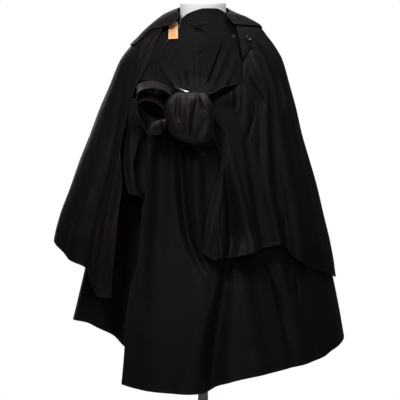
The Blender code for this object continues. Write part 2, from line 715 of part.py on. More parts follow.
def build_neck():
    """Neck panel, the roll round the shoulders and the facing on the left."""
    grid = patch(
        NECK, NECK_TOP_EDGE, NECK_LOWER_EDGE, NECK_LEFT_EDGE, NECK_RIGHT_EDGE,
        levels(NECK_COLUMNS), levels(NECK_ROWS))
    wall("neck_panel", *sheet_faces(NECK, grid, THIN_WALL), "lining")

    grid = patch(
        SHORT, ROLL_TOP, ROLL_LOWER, ROLL_LEFT_EDGE, ROLL_RIGHT_EDGE, levels(ROLL_COLUMNS),
        levels(ROLL_ROWS))
    down = levels(ROLL_ROWS)[:, None]
    swell = ROLL_RISE * MM * ease(down) * ease((1 - down) * 3 + 0.3)
    lift = WALL + LAY_GAP * (1 + 2 * ease(4 * down)) + swell
    wall("neck_roll", *sheet_faces(SHORT, grid, WALL, lift), "wool")

    grid = patch(
        PICTURE, FACING_TOP, FACING_LOWER, FACING_OUTER, FACING_INNER, levels(FACING_COLUMNS),
        levels(NECK_ROWS))
    wall("left_facing", *facing_faces(grid, THIN_WALL), "wool")


def facing_faces(grid, thick, lift=0.0):
    """Faces of cloth that runs from under the short tier's edge to the top of the neck panel."""
    x, height = grid[..., 0], grid[..., 1]
    outer_x = smooth([-spot.height for spot in FACING_OUTER], [spot.x for spot in FACING_OUTER],
                     -height)
    inner_x = smooth([-spot.height for spot in FACING_INNER], [spot.x for spot in FACING_INNER],
                     -height)
    share = ease((x - outer_x) / (inner_x - outer_x))
    under = sheet_faces(
        SHORT, np.stack((SHORT.angle_at(x, height), height), -1), thick,
        lift - WALL - 3 * LAY_GAP)
    over = sheet_faces(
        NECK, np.stack((NECK.angle_at(x, height), height), -1), thick,
        lift + THIN_WALL + 2 * LAY_GAP)
    return [near + (far - near) * share[..., None] for near, far in zip(under, over)]


def bunch(name, rows, pleats, pleat_depth, columns, count, material):
    """Rounded solid of bunched cloth with pleats down its front."""
    down = [-row.height for row in rows]
    rings = []
    for height in np.linspace(rows[0].height, rows[-1].height, count):
        x, half_x, y, half_y = (
            float(smooth(down, [row[side] for row in rows], -height)) for side in range(1, 5))
        ring = []
        for index in range(columns):
            angle = 2 * math.pi * index / columns
            front = float(ease(math.cos(angle) * 1.6))
            pleat = pleat_depth * front * math.cos(pleats * angle) * min(1.0, half_y / 20)
            ring.append((
                (x + half_x * math.sin(angle)) * MM,
                (y - (half_y + pleat) * math.cos(angle)) * MM, height * MM))
        rings.append(ring)
    loft(name, rings, material)


def strip(name, route, front, backs, turn, columns, material):
    """Band of cloth along a route in the picture plane, as deep as from front to backs."""
    spots = edge(PICTURE, route, levels(columns))
    step = np.gradient(spots, axis=0)
    side = np.stack((step[:, 1], -step[:, 0]), -1) * turn
    side /= np.linalg.norm(side, axis=1, keepdims=True)
    inner_spots = spots - side * THIN_WALL / MM
    share = levels(5)[:, None]
    faces = []
    for row in (spots, inner_spots):
        depth = front + (backs - front) * share
        x = np.broadcast_to(row[:, 0], depth.shape)
        height = np.broadcast_to(row[:, 1], depth.shape)
        faces.append(np.stack((x, depth, height), -1) * MM)
    wall(name, *faces, material)


def build_scarf():
    """Gathered scarf: tongue through the ring, knot, bow loop with its lip, and short tail."""
    bunch("neck_gather", GATHER_LEVELS, GATHER_PLEATS, GATHER_PLEAT_DEPTH, 28, 8, "lining")
    bunch("scarf_knot", KNOT_LEVELS, KNOT_PLEATS, KNOT_PLEAT_DEPTH, 36, 14, "wool")

    grid = patch(TAIL, TAIL_TOP, TAIL_LOWER, TAIL_LEFT, TAIL_RIGHT, levels(7), levels(12))
    drop = TAIL_DROP * ease((TAIL_BEND - grid[..., 1]) / 60) * MM
    wall("scarf_tail", *sheet_faces(TAIL, grid, THIN_WALL, -drop), "wool")

    spots = edge(PICTURE, LOOP_ROUTE, levels(LOOP_COLUMNS))
    angle = TAIL.angle_at(spots[:, 0], spots[:, 1])
    rest = TAIL.point(angle, spots[:, 1])[:, 1] - 2 * LAY_GAP / MM
    strip("bow_loop", LOOP_ROUTE, LOOP_FRONT, rest[None, :], -1, LOOP_COLUMNS, "wool")
    backs = np.full((1, LIP_COLUMNS), LIP_BACK)
    strip("bow_lip", LIP_ROUTE, LIP_FRONT, backs, -1, LIP_COLUMNS, "wool")


def build_trim():
    """Ring, label, button and hook."""
    ring = []
    for index in range(RING_POINTS):
        angle = 2 * math.pi * index / RING_POINTS
        across, deep = RING_HALF * math.sin(angle), RING_HALF * math.cos(angle)
        ring.append((
            (RING_CENTRE[0] + across) * MM,
            (RING_CENTRE[1] - deep * math.cos(math.radians(RING_TILT))) * MM,
            (RING_CENTRE[2] - deep * math.sin(math.radians(RING_TILT))
             - RING_LEAN * across / RING_HALF) * MM))
    wire_ring("scarf_ring", ring, RING_WIRE * MM, "steel")

    grid = patch(
        PICTURE, LABEL_TOP, LABEL_LOWER, (LABEL_TOP[0], LABEL_LOWER[0]),
        (LABEL_TOP[1], LABEL_LOWER[1]), levels(3), levels(5))
    wall("label", *facing_faces(grid, LABEL_THICK, LABEL_THICK + 2.5 * LAY_GAP), "label")

    seat, out = seat_on(SHORT, BUTTON_PLACE)
    profile = ((BUTTON_RADIUS - 1, 0), (BUTTON_RADIUS, 1), (BUTTON_RADIUS, BUTTON_THICK - 1.5),
               (BUTTON_RADIUS - 1.5, BUTTON_THICK - 0.4), (BUTTON_RADIUS * 0.45, BUTTON_THICK))
    turned("shoulder_button", profile, seat + out * LAY_GAP, out, 20, "button")

    seat, out = seat_on(NECK, HOOK_PLACE)
    centre = seat + out * (HOOK_WIRE * MM + LAY_GAP)
    across = np.cross(out, (0, 0, 1))
    across /= np.linalg.norm(across)
    up = np.cross(across, out)
    loop = [
        tuple(centre + (across * math.sin(turn) + up * math.cos(turn)) * HOOK_RADIUS * MM)
        for turn in np.linspace(0, 2 * math.pi, 16, endpoint=False)]
    wire_ring("neck_hook", loop, HOOK_WIRE * MM, "steel")


def seat_on(layer, spot):
    """Point and outward direction, in metres, where a small piece sits on a layer."""
    angle, height = layer.place(spot)
    at = (np.array([angle]), np.array([height]))
    return layer.point(*at)[0] * MM, layer.normal(*at)[0]


def turned(name, profile, seat, out, count, material):
    """Turned solid whose axis points out from its seat."""
    across = np.cross(out, (0, 0, 1))
    across /= np.linalg.norm(across)
    up = np.cross(across, out)
    rings = []
    for radius, level in profile:
        rings.append([
            tuple(seat + out * level * MM
                  + (across * math.sin(turn) + up * math.cos(turn)) * radius * MM)
            for turn in np.linspace(0, 2 * math.pi, count, endpoint=False)])
    loft(name, rings, material, 40)


def oval(section, count):
    """Points of one level of the form, with its own front and back depth."""
    ring = []
    for index in range(count):
        angle = 2 * math.pi * index / count
        depth = section.front if math.cos(angle) > 0 else section.back
        ring.append((
            section.left * math.sin(angle) * MM, -depth * math.cos(angle) * MM,
            section.height * MM))
    return ring


def disc(radius, height, count):
    """Points of one level of a turned piece."""
    return [
        (radius * math.sin(2 * math.pi * i / count) * MM,
         -radius * math.cos(2 * math.pi * i / count) * MM, height * MM)
        for i in range(count)]


def build_form():
    """Limbless dress form with a flat neck, pole, collar and round weighted base."""
    loft("form_torso", [oval(section, 36) for section in FORM_SECTIONS], "form_cloth")
    pole_top = FORM_BOTTOM - LAY_GAP / MM
    pole_foot = BASE_EDGE + BASE_CROWN + LAY_GAP / MM
    loft("stand_pole", [disc(POLE_RADIUS, level, 24) for level in (pole_foot, pole_top)], "steel")
    profile = (
        (BASE_RADIUS, 0), (BASE_RADIUS, BASE_EDGE - 2), (BASE_RADIUS - 2, BASE_EDGE),
        (BASE_RADIUS * 0.6, BASE_EDGE + BASE_CROWN * 0.55),
        (POLE_RADIUS * 2.4, BASE_EDGE + BASE_CROWN))
    loft("stand_base", [disc(radius, level, 48) for radius, level in profile], "steel", 30)


def main():
    """Build every piece."""
    clear_scene()
    build_long_tier(build_short_tier())
    build_neck()
    build_scarf()
    build_trim()
    build_form()


main()
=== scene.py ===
"""Looks of a two-tier cape with a knotted scarf, on a limbless dress form with a stand.

Units are metres, +Z is up and the wearer's front faces -Y. Tables are in millimetres and
degrees: x and height lie in the picture plane, and an angle goes round the form in plan,
with 0 at the front, 90 at the right of the picture and 180 at the back.
"""
import math
from collections import namedtuple

import bmesh
import bpy
import numpy as np
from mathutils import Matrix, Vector


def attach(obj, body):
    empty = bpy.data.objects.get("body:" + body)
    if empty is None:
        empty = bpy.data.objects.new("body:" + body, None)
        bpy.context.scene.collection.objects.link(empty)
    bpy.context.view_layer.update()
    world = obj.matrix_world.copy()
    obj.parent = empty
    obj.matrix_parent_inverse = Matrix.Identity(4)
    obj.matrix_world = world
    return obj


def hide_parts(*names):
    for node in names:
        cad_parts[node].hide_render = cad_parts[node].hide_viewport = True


bl_info = {
    "name": "Two-tier cape on a dress form",
    "version": (1, 0, 0),
    "blender": (4, 5, 0),
    "location": "View3D > Sidebar > Cape",
    "description": "Builds a draped cape, its knotted scarf and trim, its dress form and a stage",
    "category": "Object",
}

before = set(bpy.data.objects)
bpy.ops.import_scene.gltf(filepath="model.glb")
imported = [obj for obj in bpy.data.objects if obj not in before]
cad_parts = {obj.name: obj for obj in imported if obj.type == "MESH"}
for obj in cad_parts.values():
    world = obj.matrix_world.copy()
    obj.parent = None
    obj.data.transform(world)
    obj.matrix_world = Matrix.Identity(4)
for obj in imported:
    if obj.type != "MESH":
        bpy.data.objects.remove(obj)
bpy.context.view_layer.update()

MM = 0.001
LAY_GAP = 0.4 * MM              # between a piece and the piece it lies on
SEAM_GAP = 0.5                  # mm between two pieces that are sewn side by side
HALF_SEAM = SEAM_GAP / 2
SEAT_GAP = 1.5 * LAY_GAP        # between a piece and the one that it is sewn to or sits on
LEAST_LEG = 1e-3                # shortest leg of an edge, so that no two spots coincide
FRONT_FADE = 0.4                # front folds fade where the cosine of the angle is below this
WEAR_REACH = 3.0                # mm from an edge over which cloth is rubbed
SEAM_ANGLE = 100                # side seams, just behind the silhouette
TURN_REACH = 250.0              # cloth that one radian round the body spans
NORMAL_TURN = 0.004             # steps over which a surface's direction is read
NORMAL_DROP = 1.0
FORM_BOTTOM = 790

Wave = namedtuple("Wave", "across down phase share")
Round = namedtuple("Round", "angle height")

# Outer face of each layer of cloth: height, then half-sizes at the left, right, front and back
SHORT_SECTIONS = (
    (1487, 60.4, 60.4, 60.4, 58.4), (1470, 96, 84, 76, 80), (1455, 117, 116, 88, 92),
    (1440, 134, 146, 98, 102), (1412, 162, 169, 114, 118), (1388, 188, 187, 124, 130),
    (1352, 215, 207, 140, 145), (1287, 242, 225, 168, 165), (1227, 268, 241, 190, 180),
    (1157, 294, 257, 208, 194), (1092, 320, 276, 222, 207), (1019, 346, 297, 234, 220),
    (949, 372, 314, 246, 232), (884, 387, 330, 258, 242), (820, 391, 342, 266, 252),
    (730, 393, 352, 274, 262))
LONG_SECTIONS = (
    (1365, 196, 188, 126, 128), (1300, 204, 205, 148, 145), (1250, 212, 218, 163, 158),
    (1157, 232, 245, 182, 178), (1092, 246, 262, 196, 190), (1019, 262, 282, 207, 203),
    (949, 278, 301, 218, 215), (884, 292, 318, 229, 226), (811, 307, 334, 245, 238),
    (733, 325, 350, 262, 250), (678, 338, 360, 274, 258), (632, 346, 367, 282, 264),
    (560, 350, 372, 292, 270), (486, 352, 374, 300, 276))
NECK_SECTIONS = (
    (1487, 66, 66, 67, 66), (1470, 71, 72, 73, 66), (1455, 80, 84, 80, 66),
    (1430, 106, 116, 92, 66), (1412, 136, 140, 101, 66), (1388, 168, 162, 112, 66),
    (1352, 200, 184, 127, 66), (1305, 225, 204, 149, 66), (1270, 238, 214, 166, 66),
    (1240, 244, 220, 180, 66))

# Folds that show from the front: each runs down through its x, height, half-width and rise
SHORT_FOLDS = {
    "left_edge_ridge": (
        (-172, 1300, 10, 0), (-194, 1190, 12, 8), (-220, 1053, 15, 15), (-248, 900, 19, 19),
        (-266, 770, 22, 18)),
    "left_valley": (
        (-204, 1320, 12, 0), (-228, 1170, 15, -5), (-250, 1070, 18, -9), (-280, 960, 20, -9),
        (-306, 840, 22, -6)),
    "left_side_ridge": ((-240, 1270, 14, 0), (-290, 1030, 20, 6), (-335, 870, 26, 8)),
    "shoulder_tuck_left": (
        (-140, 1420, 8, 0), (-154, 1385, 8, 5), (-166, 1350, 9, 4), (-180, 1300, 9, 0)),
    "drape_edge_valley": (
        (56, 1105, 8, 0), (64, 1030, 16, -13), (74, 955, 22, -25), (76, 885, 25, -31),
        (68, 838, 22, -24)),
    "drape_edge_ridge": ((38, 990, 6, 0), (40, 923, 9, 6), (46, 850, 12, 10)),
    "drape_first_ridge": (
        (66, 1150, 10, 0), (82, 1053, 16, 8), (100, 975, 20, 14), (122, 870, 24, 18)),
    "drape_second_valley": (
        (100, 1200, 12, 0), (120, 1100, 18, -6), (138, 1000, 22, -10), (158, 870, 24, -12)),
    "drape_second_ridge": (
        (120, 1385, 12, 0), (138, 1320, 20, 8), (158, 1235, 18, 10), (164, 1040, 16, 12),
        (192, 880, 18, 16)),
    "drape_third_valley": (
        (160, 1290, 8, 0), (176, 1210, 11, -6), (190, 1050, 14, -10), (212, 870, 16, -11)),
    "drape_third_ridge": (
        (146, 1400, 8, 0), (184, 1260, 12, 7), (212, 1080, 14, 9), (240, 930, 18, 10),
        (262, 810, 20, 6)),
    "drape_side_valley": (
        (158, 1390, 7, 0), (196, 1290, 9, -5), (226, 1130, 10, -5), (258, 960, 10, 0)),
    "drape_side_ridge": (
        (180, 1370, 9, 0), (222, 1222, 12, 4), (272, 1000, 16, 5), (310, 820, 18, 3)),
}
LONG_FOLDS = {
    "left_panel": (
        (-106, 1190, 22, 0), (-106, 1100, 30, 16), (-112, 940, 36, 15), (-125, 700, 44, 7),
        (-130, 490, 50, 4)),
    "diagonal_valley": (
        (-62, 1170, 14, 0), (-60, 1095, 20, -17), (-56, 1014, 20, -20), (-46, 923, 20, -21),
        (-30, 865, 19, -16), (-6, 815, 17, -9), (14, 770, 12, 0)),
    "middle_panel": (
        (-16, 1140, 22, 0), (-16, 1060, 26, 14), (-14, 950, 26, 14), (-4, 850, 22, 4),
        (0, 810, 18, 0)),
    "centre_ridge": ((6, 850, 20, 0), (-6, 740, 30, 6), (-24, 600, 36, 8), (-48, 490, 40, 10)),
    "deep_valley": (
        (66, 860, 14, 0), (60, 780, 26, -14), (46, 690, 36, -28), (34, 600, 42, -36),
        (24, 490, 46, -44)),
    "right_panel": ((105, 840, 26, 0), (110, 740, 36, 8), (124, 620, 44, 12), (140, 530, 50, 14)),
    "short_dark_fold": (
        (172, 830, 8, 0), (182, 780, 9, -7), (204, 700, 13, -8), (228, 600, 18, -4)),
    "short_ridge": ((192, 870, 12, 0), (210, 780, 20, 4), (236, 690, 24, 5), (262, 590, 28, 4)),
    "side_panel": ((276, 880, 18, 0), (284, 780, 26, 3), (302, 640, 30, 6), (306, 570, 32, 6)),
}
NECK_FOLDS = {
    "long_crease": (
        (54, 1398, 4, 0), (44, 1374, 4, -7), (26, 1326, 4, -9), (10, 1284, 5, -9),
        (4, 1262, 5, -7)),
    "long_crease_lip": (
        (66, 1390, 8, 0), (58, 1364, 11, 3), (42, 1322, 12, 4), (26, 1284, 10, 3),
        (18, 1262, 8, 2)),
    "short_crease": ((-44, 1328, 5, 0), (-43, 1300, 6, -8), (-38, 1270, 7, -8)),
    "left_pleat": ((-110, 1340, 14, 0), (-84, 1300, 12, 4), (-62, 1268, 10, 7)),
    "middle_pleat": ((-20, 1420, 16, 0), (-16, 1340, 14, 5), (-16, 1262, 10, 6)),
    "high_hollow": ((-34, 1440, 14, 0), (-10, 1425, 20, -5), (8, 1400, 14, 0)),
    "right_pleat": ((86, 1370, 12, 0), (76, 1330, 14, 3), (52, 1276, 12, 4)),
}

# Soft folds of the hidden back, even but not equal. Each fold has a lesser hollow and a leaning
# ridge beside it: share of its rise, degrees from its middle, half-width, lean per mm of drop
BACK_FOLD_ANGLES = (112, 131, 150, 171, 192, 213, 232, 249)
BACK_FOLD_SIZES = (0.7, 1.0, 0.8, 1.0, 0.75, 1.0, 0.85, 0.7)
BACK_FOLD_FORMS = ((1.0, 0, 11, 0), (-0.22, 9.5, 5, 0), (0.16, 4, 4, 0.006))
BACK_FOLD_TOP, BACK_FOLD_GROWTH, BACK_FOLD_UPRIGHT = 1340, 560, 1100
SHORT_BACK_RISE = 15
LONG_BACK_RISE = 17

# Edges of each piece, listed from the viewer's left to right and from top to bottom. A plain
# pair is x and height in the picture plane, and a Round is an angle and height
SHORT_LEFT_EDGE = (
    (-108, 1426), (-117, 1409), (-138, 1352), (-159, 1313), (-177, 1274), (-192, 1217),
    (-204, 1157), (-208, 1079), (-212, 1001), (-226, 884), (-237, 767), (-238, 736))
SHORT_LEFT_TOP = (Round(-SEAM_ANGLE, 1470), Round(-80, 1468), (-98, 1448), (-108, 1426))
SHORT_LEFT_HEM = (
    Round(-SEAM_ANGLE, 889), Round(-90, 884), (-368, 858), (-351, 840), (-307, 811), (-291, 780),
    (-276, 754), (-255, 736), (-238, 736))
DRAPE_EDGE = (
    (26, 1240), (31, 1201), (47, 1175), (59, 1157), (63, 1118), (60, 1092), (49, 1053), (36, 988),
    (26, 949), (18, 905), (2, 850))
DRAPE_HEM = (
    (2, 850), (31, 832), (52, 837), (75, 840), (143, 858), (174, 868), (200, 873), (218, 866),
    (231, 845), (278, 816), Round(90, 788), Round(SEAM_ANGLE, 794))
LONG_HEM = (
    (-211, 512), (-177, 502), (-138, 494), (-86, 489), (-34, 486), (0, 489), (23, 499), (36, 507),
    (70, 517), (122, 530), (174, 541), (226, 554), (265, 564), (304, 580), (338, 600),
    Round(90, 632), Round(SEAM_ANGLE, 637))
UNDER_HEM = (
    Round(SEAM_ANGLE, 637), Round(140, 660), Round(180, 676), Round(240, 686), Round(270, 678),
    Round(296, 671), Round(308, 655), Round(318, 637), Round(325, 606), Round(331, 592))
SHORT_BACK_TOP = (Round(SEAM_ANGLE, 1470), Round(180, 1470), Round(360 - SEAM_ANGLE, 1470))
SHORT_BACK_HEM = (
    Round(SEAM_ANGLE, 794), Round(140, 850), Round(180, 880), Round(225, 892),
    Round(360 - SEAM_ANGLE, 889))
NECK_TOP_EDGE = (
    (-57, 1458), (-44, 1469), (-21, 1479), (0, 1484), (31, 1483), (44, 1478), (60, 1468))
FACING_TOP = ((-118, 1424), (-60, 1446))

# Dress form, from the neck's flat top to its underside, in the columns of the layers
FORM_SECTIONS = (
    (1500, 60, 60, 58, 58), (1478, 60, 60, 58, 58), (1455, 61, 61, 59, 59),
    (1440, 66, 66, 61, 61), (1425, 82, 82, 64, 66), (1405, 116, 116, 70, 74),
    (1385, 148, 148, 76, 82), (1362, 170, 170, 83, 90), (1335, 178, 178, 91, 96),
    (1300, 176, 176, 102, 101), (1255, 170, 170, 114, 103), (1215, 161, 161, 118, 102),
    (1165, 149, 149, 113, 97), (1110, 136, 136, 104, 90), (1060, 130, 130, 100, 87),
    (1010, 135, 135, 102, 93), (950, 152, 152, 108, 107), (885, 167, 167, 112, 117),
    (825, 170, 170, 112, 119), (FORM_BOTTOM, 166, 166, 110, 116))

# Pleats of the bunched cloth
KNOT_PLEATS = 9
KNOT_PLEAT_DEPTH = 0.42
GATHER_PLEATS = 7
GATHER_PLEAT_DEPTH = 1.5


# Finer creases of each layer, too small for the solids, in the columns of the folds
SHORT_CREASES = {
    "left_edge_line": (
        (-242, 960, 4, 0), (-248, 935, 5, -5), (-258, 895, 5, -5), (-266, 868, 4, 0)),
    "left_edge_second_line": (
        (-222, 950, 5, 0), (-232, 900, 6, 4), (-244, 850, 6, 4), (-252, 800, 6, 0)),
    "left_shoulder_fold": (
        (-117, 1424, 5, 0), (-136, 1388, 7, 5), (-154, 1348, 7, 4), (-170, 1310, 7, 0)),
    "left_shoulder_crease": (
        (-128, 1418, 4, 0), (-150, 1380, 6, -5), (-170, 1342, 6, -3), (-184, 1310, 6, 0)),
    "left_side_line": ((-296, 1098, 5, 0), (-300, 1060, 7, 3), (-302, 1010, 7, 0)),
    "left_low_ridge": (
        (-262, 1010, 8, 0), (-276, 930, 10, 4), (-284, 850, 12, 5), (-290, 780, 12, 4)),
    "hanging_loop_left": (
        (72, 1304, 4, 0), (72, 1260, 4, 4), (74, 1232, 5, 4), (84, 1212, 6, 3), (92, 1206, 4, 0)),
    "hanging_loop_right": ((94, 1298, 4, 0), (96, 1256, 5, 4), (95, 1228, 5, 4), (90, 1212, 5, 0)),
    "hanging_loop_hollow": (
        (83, 1296, 4, 0), (84, 1262, 6, -5), (85, 1236, 6, -4), (87, 1222, 4, 0)),
    "bib_fold": ((106, 1290, 10, 0), (112, 1250, 16, 4), (110, 1190, 15, 5), (104, 1140, 12, 0)),
    "bib_edge": ((133, 1262, 6, 0), (134, 1216, 7, -3), (124, 1170, 7, -4), (114, 1130, 6, 0)),
    "leading_line": ((62, 1092, 6, 0), (49, 1010, 11, 3), (31, 930, 12, 3), (16, 868, 12, 2)),
    "lens_fold": (
        (118, 1376, 8, 0), (132, 1340, 14, 6), (150, 1298, 17, 10), (162, 1262, 13, 7),
        (166, 1226, 8, 0)),
    "lens_edge": ((122, 1312, 6, 0), (136, 1276, 8, -8), (150, 1246, 8, -8), (158, 1218, 6, 0)),
    "lens_upper_edge": (
        (134, 1392, 5, 0), (122, 1374, 7, -6), (110, 1354, 7, -7), (103, 1330, 6, -4),
        (101, 1304, 5, 0)),
    "collar_fold": (
        (134, 1404, 6, 0), (154, 1376, 9, -8), (178, 1332, 11, -10), (200, 1276, 10, -8),
        (211, 1196, 8, 0)),
    "collar_lip": ((152, 1400, 5, 0), (172, 1374, 7, 4), (198, 1326, 8, 4), (216, 1266, 8, 0)),
    "outer_line": ((186, 1376, 4, 0), (206, 1318, 5, 4), (222, 1262, 5, 3), (232, 1210, 5, 0)),
    "fine_ridge": ((206, 1050, 4, 0), (224, 996, 5, 4), (240, 950, 5, 4), (258, 905, 5, 0)),
    "gap_crease": ((206, 960, 6, 0), (212, 918, 9, -7), (213, 868, 9, -9)),
}
LONG_CREASES = {
    "dark_line": ((170, 812, 4, 0), (184, 770, 5, -5), (202, 715, 5, -6), (222, 652, 5, 0)),
    "side_crease": ((238, 800, 6, 0), (246, 760, 8, -5), (250, 720, 7, 0)),
}
# Dents: x, height, their half-sizes and rise
LONG_DENTS = (
    (-30, 760, 26, 9, -2), (222, 800, 16, 30, -4), (-150, 640, 34, 60, 3), (120, 600, 40, 50, -3),
    (-56, 1134, 40, 26, -12), (-10, 1124, 48, 26, -16), (112, 856, 150, 110, -18))
SHORT_DENTS = (
    (-330, 900, 20, 50, 3), (150, 1120, 20, 40, -2), (285, 812, 70, 60, -7),
    (104, 840, 92, 80, 20), (58, 1262, 52, 46, 14))
NECK_CREASES = {
    "upper_fold": ((14, 1452, 10, 0), (-6, 1443, 18, 2), (-34, 1438, 16, 0)),
    "upper_hollow": ((0, 1440, 10, 0), (-14, 1426, 14, -2), (-36, 1408, 12, 0)),
    "small_crease": ((4, 1376, 6, 0), (-4, 1368, 8, -2), (-16, 1358, 6, 0)),
    "right_line": ((64, 1352, 5, 0), (68, 1326, 6, -4), (74, 1300, 6, -3), (78, 1284, 5, 0)),
    "right_lip": ((86, 1392, 4, 0), (92, 1366, 4, 4), (99, 1336, 4, 3), (102, 1318, 4, 0)),
    "ring_pleat_left": ((-60, 1320, 5, 0), (-54, 1296, 6, 4), (-46, 1270, 6, 5)),
    "left_soft": ((-60, 1410, 12, 0), (-76, 1376, 18, 3), (-96, 1340, 18, 3), (-108, 1312, 12, 0)),
}
NECK_DENTS = ((-22, 1250, 74, 62, 50),)
TAIL_CREASES = {
    "tail_hollow": (
        (-150, 1180, 10, 0), (-158, 1130, 18, -11), (-162, 1090, 20, -15), (-164, 1050, 16, -6),
        (-166, 1015, 12, 0)),
    "tail_ridge": (
        (-188, 1200, 10, 0), (-194, 1130, 14, 3), (-192, 1060, 14, 3), (-186, 1004, 10, 0)),
}
KNOT_CREASES = {
    "first_valley": (
        (-60, 1262, 8, 0), (-65, 1244, 10, -8), (-66, 1214, 10, -8), (-62, 1186, 8, 0)),
    "left_lobe": ((-84, 1230, 10, 0), (-84, 1206, 14, 3), (-76, 1180, 14, 3), (-62, 1156, 10, 0)),
    "centre_lobe": (
        (-36, 1262, 10, 1.5), (-37, 1240, 15, 5), (-39, 1208, 16, 5), (-44, 1176, 14, 2.5),
        (-48, 1152, 10, 0)),
    "slit": (
        (-15, 1260, 4, -3), (-19, 1238, 5, -7), (-25, 1214, 6, -7), (-30, 1192, 6, -6),
        (-31, 1166, 5, -7), (-29, 1146, 4, 0)),
    "wedge": ((-12, 1258, 4, -2), (-8, 1244, 7, -9), (-3, 1230, 7, -9), (3, 1214, 4, 0)),
    "right_lobe": (
        (-1, 1260, 7, 0), (8, 1244, 11, 5), (15, 1220, 13, 5), (18, 1194, 13, 3),
        (16, 1170, 10, 0)),
    "lower_hollow": ((10, 1204, 10, 0), (2, 1184, 17, -4), (-6, 1164, 18, -5), (-14, 1146, 12, -3)),
}

# Soft unevenness of hung cloth: waves across and down, so that no fold is quite even
UNEVEN = (
    Wave(10, 4, 0.3, 1.0), Wave(22, -7, 1.9, 0.7), Wave(34, 9, 4.1, 0.5),
    Wave(58, -15, 2.6, 0.35), Wave(82, 22, 5.2, 0.2), Wave(6, 31, 0.9, 0.25))
UNEVEN_TURN, UNEVEN_TOP, UNEVEN_GROWTH = 0.4, 1430, 160
RIPPLE = 0.6

# Edges that the looks draw closer to the photo than the solids do
NECK_LEFT_EDGE = ((-57, 1458), (-66, 1430), (-94, 1396), (-118, 1352), (-144, 1312))
NECK_RIGHT_EDGE = (
    (62, 1471), (84, 1452), (100, 1430), (114, 1400), (124, 1360), (128, 1330), (124, 1296))
NECK_LOWER_EDGE = (
    (-144, 1312), (-120, 1300), (-98, 1288), (-72, 1278), (-47, 1264), (-24, 1255), (0, 1255),
    (26, 1264), (50, 1278), (82, 1286), (124, 1296))
FACING_OUTER = ((-118, 1424), (-134, 1378), (-150, 1340), (-172, 1301))
FACING_INNER = (
    (-60, 1446), (-76, 1424), (-91, 1404), (-101, 1374), (-112, 1350), (-124, 1326), (-124, 1312),
    (-100, 1302), (-76, 1288), (-69, 1262))
FACING_LOWER = ((-172, 1301), (-152, 1300), (-136, 1297), (-112, 1285), (-88, 1270), (-69, 1262))
LONG_TOP = ((-130, 1300), (-60, 1312), (20, 1316), (90, 1318), (140, 1326), Round(70, 1340))
LONG_LEFT_EDGE = (
    (-130, 1300), (-132, 1240), (-138, 1200), (-143, 1157), (-148, 1066), (-156, 988),
    (-169, 832), (-190, 754), (-200, 676), (-203, 611), (-211, 512))
ROLL_TOP = (
    Round(-80, 1487), Round(-110, 1488), Round(-180, 1490), Round(-250, 1487), Round(-282, 1481),
    Round(-304, 1475))
ROLL_LOWER = (
    (-66, 1452), (-86, 1440), (-104, 1436), (-135, 1427), (-155, 1408), (-172, 1393),
    Round(-83, 1388), Round(-106, 1392), Round(-180, 1404), Round(-240, 1420), Round(-268, 1436),
    (112, 1440), (78, 1442))
ROLL_LEFT_EDGE = (Round(-80, 1487), (-59, 1468), (-66, 1452))
ROLL_RIGHT_EDGE = (Round(-304, 1475), (60, 1461), (78, 1442))
TAIL_TOP = ((-182, 1252), (-126, 1246))
TAIL_LEFT = ((-182, 1252), (-198, 1200), (-211, 1150), (-215, 1100), (-209, 1050), (-198, 1008))
TAIL_RIGHT = ((-126, 1246), (-138, 1180), (-146, 1110), (-150, 1050), (-156, 994))
TAIL_LOWER = ((-198, 1008), (-184, 1004), (-170, 999), (-156, 994))
LABEL_TOP = ((-87, 1444), (-64, 1448))
LABEL_LOWER = ((-88, 1403), (-64, 1404))
# Bunched cloth from the top down: height, x, half-width, y and half-depth
KNOT_LEVELS = (
    (1265, -34, 36, -233, 5), (1256, -36, 47, -235, 12), (1248, -37, 54, -236, 18),
    (1232, -36, 62, -235, 25), (1204, -35, 64, -233, 31), (1167, -31, 58, -232, 33),
    (1149, -25, 48, -231, 31), (1137, -18, 35, -230, 24), (1131, -12, 22, -229, 14))
GATHER_LEVELS = (
    (1300, -22, 40, -134, 5), (1290, -22, 42, -150, 8), (1278, -22, 44, -176, 14),
    (1266, -24, 42, -198, 16), (1256, -28, 44, -214, 14), (1248, -32, 44, -222, 13))
# Top and free edge of the long tier's covered left front, and the drape's top
UNDER_TOP = (Round(284, 1338), Round(300, 1334), Round(316, 1330), Round(327, 1326))
UNDER_EDGE = (
    Round(327, 1326), Round(326, 1240), Round(325, 1000), Round(328, 800), Round(331, 592))
DRAPE_TOP = (
    (20, 1256), (38, 1268), (60, 1281), (80, 1293), (96, 1312), (99, 1347), (94, 1383),
    (88, 1415), (78, 1445), (70, 1466), Round(70, 1470), Round(SEAM_ANGLE, 1470))

# Bow loop: its front rim, the back of its tunnel, the lip inside it and the fold at its foot
LOOP_RIM = (
    (-78, 1254), (-88, 1263), (-108, 1274), (-130, 1277), (-153, 1274), (-169, 1263),
    (-172, 1246), (-167, 1209), (-157, 1183), (-143, 1162), (-125, 1157), (-109, 1163),
    (-99, 1182), (-96, 1200))
LOOP_END = (
    (-84, 1272), (-92, 1280), (-112, 1291), (-132, 1296), (-154, 1294), (-170, 1280),
    (-170, 1250), (-160, 1226), (-149, 1212), (-138, 1205), (-126, 1203), (-114, 1206),
    (-106, 1214), (-103, 1226))
LIP_ROUTE = (
    (-101, 1206), (-100, 1218), (-112, 1232), (-126, 1242), (-146, 1246), (-160, 1243),
    (-168, 1238))
FOLD_TOP = ((-145, 1163), (-133, 1183), (-117, 1193), (-96, 1197))
FOLD_LOWER = ((-144, 1157), (-125, 1155), (-109, 1160), (-97, 1174))
# How far forward the long tier's left front lies at each height, deep under the front panel
UNDER_FRONT = (
    (1365, 114), (1250, 128), (1157, 138), (1019, 148), (884, 158), (733, 176), (560, 204))


